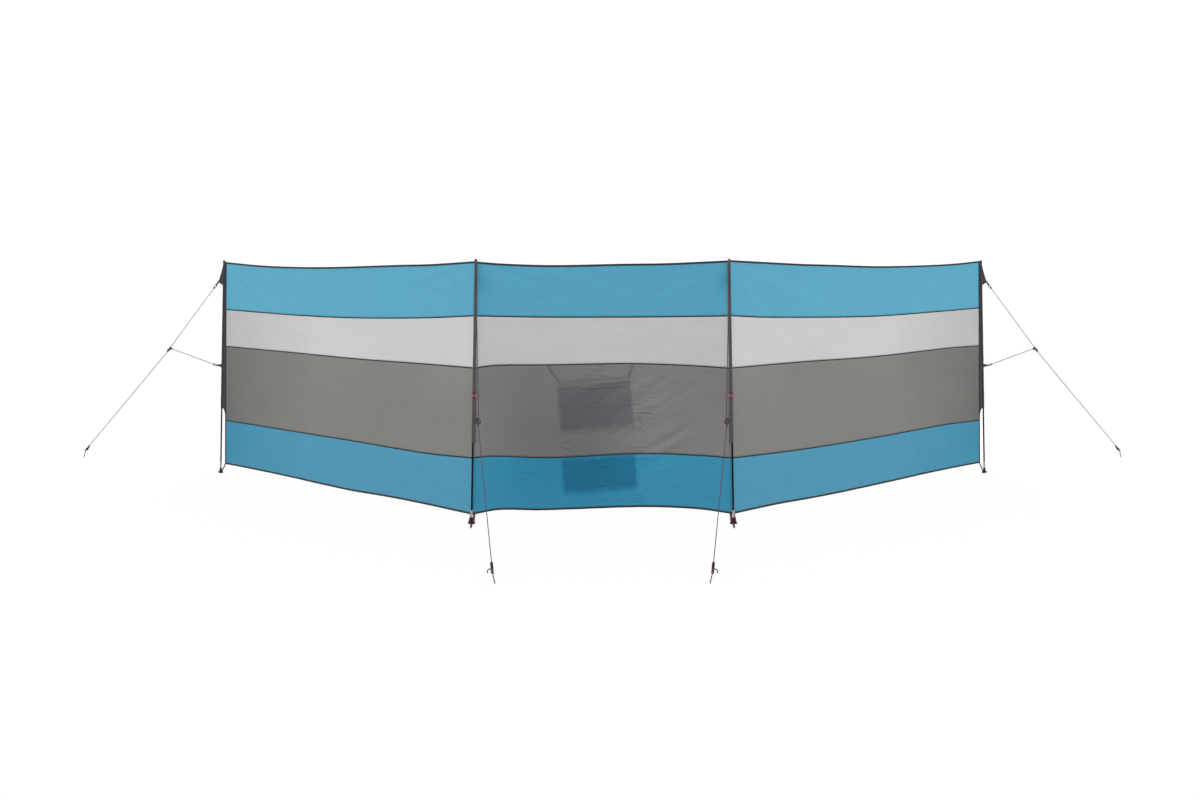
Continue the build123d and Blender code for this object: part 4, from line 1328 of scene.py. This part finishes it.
def hanger(bm, start, end, bow):
    path = evenPoints([start, start.lerp(end, 0.5) + Vector((0, bow, 0)), end], hanging["step"])
    tape(bm, path, organiserAcross, hanging["width"], hanging["thickness"])


bm = bmesh.new()
off = hanging["off"]
for side, splay in zip((-1, 1), hanging["splays"]):
    edge = side * (organiserLook["width"] - hanging["width"]) / 2
    seam = Vector((organiserLook["centre"] + edge + side * splay, organiserOrigin.y + off, hanging["top"]))
    hanger(bm, organiserPoint(edge, -hanging["belowRim"], off), seam, hanging["bows"][0])
    hanger(bm, organiserPoint(edge, -organiserLook["upperHeight"] + hanging["lap"], off),
           organiserPoint(edge, lowerTop - hanging["lap"], off), hanging["bows"][1])
finishPiece(bm, "organiser_hanging_straps", ["dark webbing"], ["organiser_straps"])
makePouch("organiser_upper_pouch", 0.0, organiserLook["upperHeight"], "organiser_upper_pocket", 51.0)
makePouch("organiser_lower_pouch", lowerTop, organiserLook["lowerHeight"], "organiser_lower_pocket", 57.0)
print("organiser hung")

# Floor, light and camera
studio = {
    "floorSize": 16.0,
    "floorDrop": 0.0006,
    "worldLight": 0.30,
    # heading from the front, height, strength, and whether it casts shadows
    "lamps": [(-66.5, 34, 2.1, False), (66.5, 34, 2.1, False), (180, 40, 1.1, True)],
    "lampSize": 70,
    "white": 1.05,
    "floorShare": 0.88,         # of plain white in what the camera sees of the floor
    "cameraDistance": 5.79,
    "cameraHeight": 1.433,
    "lens": 31.08,
    "shift": (-0.0021, -0.1108),
}


def litWhite(tree, shader, amount):
    # shows white to the camera and in gloss, and lights the object as a plain surface
    rays = addNode(tree, "LightPath")
    bounced = calc(tree, "MAXIMUM", rays["Is Glossy Ray"], rays["Is Transmission Ray"])
    seen = times(tree, calc(tree, "MAXIMUM", rays["Is Camera Ray"], bounced), amount)
    white = addNode(tree, "Emission", {"Color": (1, 1, 1, 1), "Strength": studio["white"]})
    return addNode(tree, "MixShader", {0: seen, 1: shader, 2: white[0]})[0]


bm = bmesh.new()
bmesh.ops.create_grid(bm, x_segments=1, y_segments=1, size=studio["floorSize"])
for vertex in bm.verts:
    vertex.co.z = -studio["floorDrop"]
floorMesh = bpy.data.meshes.new("floor")
bm.to_mesh(floorMesh)
bm.free()
placeObject("floor", floorMesh)
floorLook = bpy.data.materials.new("floor white")
floorLook.use_nodes = True
floorTree = floorLook.node_tree
floorShader = floorTree.nodes["Principled BSDF"]
for key, value in {"Base Color": (0.55, 0.55, 0.55, 1), "Roughness": 0.9, "Specular IOR Level": 0.0}.items():
    floorShader.inputs[key].default_value = value
mixed = litWhite(floorTree, floorShader.outputs[0], studio["floorShare"])
floorTree.links.new(mixed, floorTree.nodes["Material Output"].inputs[0])
floorMesh.materials.append(floorLook)

world = bpy.data.worlds.new("studio")
world.use_nodes = True
bpy.context.scene.world = world
worldTree = world.node_tree
ambient = worldTree.nodes["Background"]
ambient.inputs["Color"].default_value = (1, 1, 1, 1)
ambient.inputs["Strength"].default_value = studio["worldLight"]
worldTree.links.new(litWhite(worldTree, ambient.outputs[0], 1.0), worldTree.nodes["World Output"].inputs[0])

for heading, height, strength, shadows in studio["lamps"]:
    data = bpy.data.lights.new("soft lamp", "SUN")
    data.energy = strength
    data.angle = radians(studio["lampSize"])
    data.use_shadow = shadows
    placeObject("soft lamp", data).rotation_euler = (radians(90 - height), 0, radians(heading))

cameraData = bpy.data.cameras.new("camera")
cameraData.lens = studio["lens"]
cameraData.sensor_width = 36.0
cameraData.shift_x, cameraData.shift_y = studio["shift"]
camera = placeObject("camera", cameraData)
camera.location = (0, frontY - studio["cameraDistance"], studio["cameraHeight"])
camera.rotation_euler = (radians(90), 0, 0)
bpy.context.scene.camera = camera
bpy.context.scene.view_settings.view_transform = "Standard"
print("studio set")

bpy.context.view_layer.update()
